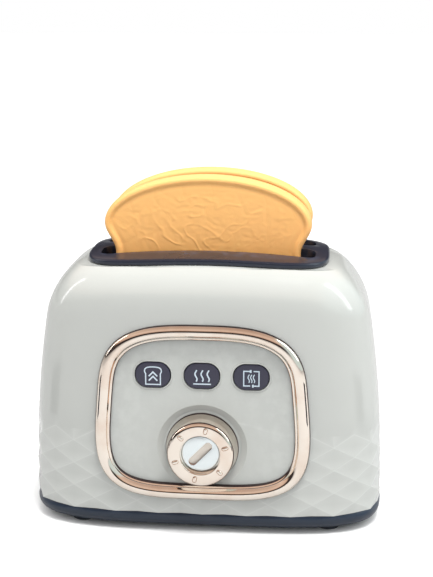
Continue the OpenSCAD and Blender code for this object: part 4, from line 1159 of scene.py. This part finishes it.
def floor():
    """Pale to the camera, and darker in the light it throws back."""
    mesh = bpy.data.meshes.new("floor")
    s = 6.0
    mesh.from_pydata([(-s, -s, 0), (s, -s, 0), (s, s, 0), (-s, s, 0)], [], [(0, 1, 2, 3)])
    obj = linked("floor", mesh)
    m, t, b = new_material("pale floor")
    grain = add(t, "TexNoise", Vector=add(t, "TexCoord").outputs["Object"], Scale=3.0, Detail=3.0)
    pale, paler = (0.93, 0.93, 0.93, 1), (0.95, 0.95, 0.95, 1)
    tone = mix(t, grain.outputs[0], pale, paler)
    seen = add(t, "LightPath").outputs["Is Camera Ray"]
    colour = mix(t, seen, (0.47, 0.47, 0.475, 1), tone)
    set_inputs(t, b, Base_Color=colour, Roughness=0.7)
    mesh.materials.append(m)


def flag(name, x):
    """A small dark card beside the toy. Only mirrored surfaces see it."""
    mesh = bpy.data.meshes.new(name)
    front, back, low, high = -0.105, -0.045, 0.008, 0.05
    corners = [(x, front, low), (x, back, low), (x, back, high), (x, front, high)]
    mesh.from_pydata(corners, [], [(0, 1, 2, 3)])
    obj = linked(name, mesh)
    m, t, b = new_material(name)
    set_inputs(t, b, Base_Color=(0.01, 0.01, 0.02, 1), Roughness=0.9)
    mesh.materials.append(m)
    obj.visible_camera = obj.visible_diffuse = obj.visible_shadow = False


def lights():
    """A key lamp, two strips, and surroundings that differ for the camera, for mirrors and for soft light."""
    aim = Vector((0, 0, 0.08))

    def lamp(name, where, size, power_w, colour, mirrored=True):
        data = bpy.data.lights.new(name, "AREA")
        data.shape, data.size, data.size_y = "RECTANGLE", size[0], size[1]
        data.energy, data.color = power_w, colour
        obj = linked(name, data)
        obj.location = where
        obj.rotation_euler = (aim - Vector(where)).to_track_quat("-Z", "Y").to_euler()
        obj.visible_glossy = mirrored

    lamp("key", (0.20, -0.34, 1.15), (0.4, 0.4), 12.5, (1.0, 1.0, 0.99), mirrored=False)
    lamp("right_strip", (1.10, -0.10, 0.78), (0.22, 1.0), 3.2, (0.92, 0.99, 1.0))
    lamp("left_strip", (-1.15, 0.0, 0.66), (0.08, 0.9), 1.6, (1.0, 1.0, 1.0))

    world = bpy.data.worlds.new("studio")
    bpy.context.scene.world = world
    world.use_nodes = True
    t = world.node_tree
    bg = t.nodes["Background"]
    direction = add(t, "TexCoord").outputs["Generated"]
    split = add(t, "SeparateXYZ", Vector=direction)
    path = add(t, "LightPath")

    ramp = add(t, "ValToRGB", Fac=split.outputs["Z"])
    stops = ramp.color_ramp.elements
    stops[0].position, stops[0].color = 0.0, (0.55, 0.56, 0.56, 1)
    stops[1].position, stops[1].color = 1.0, (0.50, 0.36, 0.29, 1)
    middle_stops = (
        (0.05, (0.50, 0.49, 0.48, 1)), (0.09, (0.035, 0.03, 0.035, 1)), (0.36, (0.05, 0.035, 0.03, 1)),
        (0.46, (0.66, 0.47, 0.37, 1)), (0.66, (0.78, 0.60, 0.50, 1)),
    )
    for at, c in middle_stops:
        stops.new(at).color = c
    right = add(t, "MapRange", Value=split.outputs["X"], i1=0.5, i2=0.68)
    mirrored = mix(t, right.outputs[0], ramp.outputs[0], (0.66, 0.78, 0.79, 1))
    sideways = add(t, "MapRange", Value=split.outputs["X"], i1=-1.0, i2=1.0)
    upward = add(t, "MapRange", Value=split.outputs["Z"], i1=0.1, i2=0.6)
    soft = mix(t, sideways.outputs[0], (0.38, 0.385, 0.39, 1), (0.70, 0.76, 0.80, 1))
    soft = mix(t, upward.outputs[0], soft, (1.42, 1.42, 1.41, 1))
    lit = mix(t, path.outputs["Is Glossy Ray"], soft, mirrored)
    seen = mix(t, path.outputs["Is Camera Ray"], lit, (1.0, 1.0, 1.0, 1))
    set_inputs(t, bg, Color=seen, Strength=1.0)
    bpy.context.scene.view_settings.view_transform = "Standard"


camera()
floor()
flag("flag_left", -0.22)
flag("flag_right", 0.22)
lights()
finish_solids()
housing()
base()
collar()
bezel()
panel()
for label, side in (("left", -1), ("middle", 0), ("right", 1)):
    button(label, side)
icons()
knob()
disc()
ticks("dial_ticks", 3.0, 1.7, 0.5, ROSE)
# painted shadow: a wider, flat dark capsule under each tick
ticks("dial_tick_shadows", 3.5, 2.2, 0.1, RECESS_WALL_SHADE)
slice_piece("slice_front_bread", -SLOT_Y, 1.3, "slice_front", "toast_front")
slice_piece("slice_rear_bread", SLOT_Y, 5.1, "slice_rear", "toast_rear")
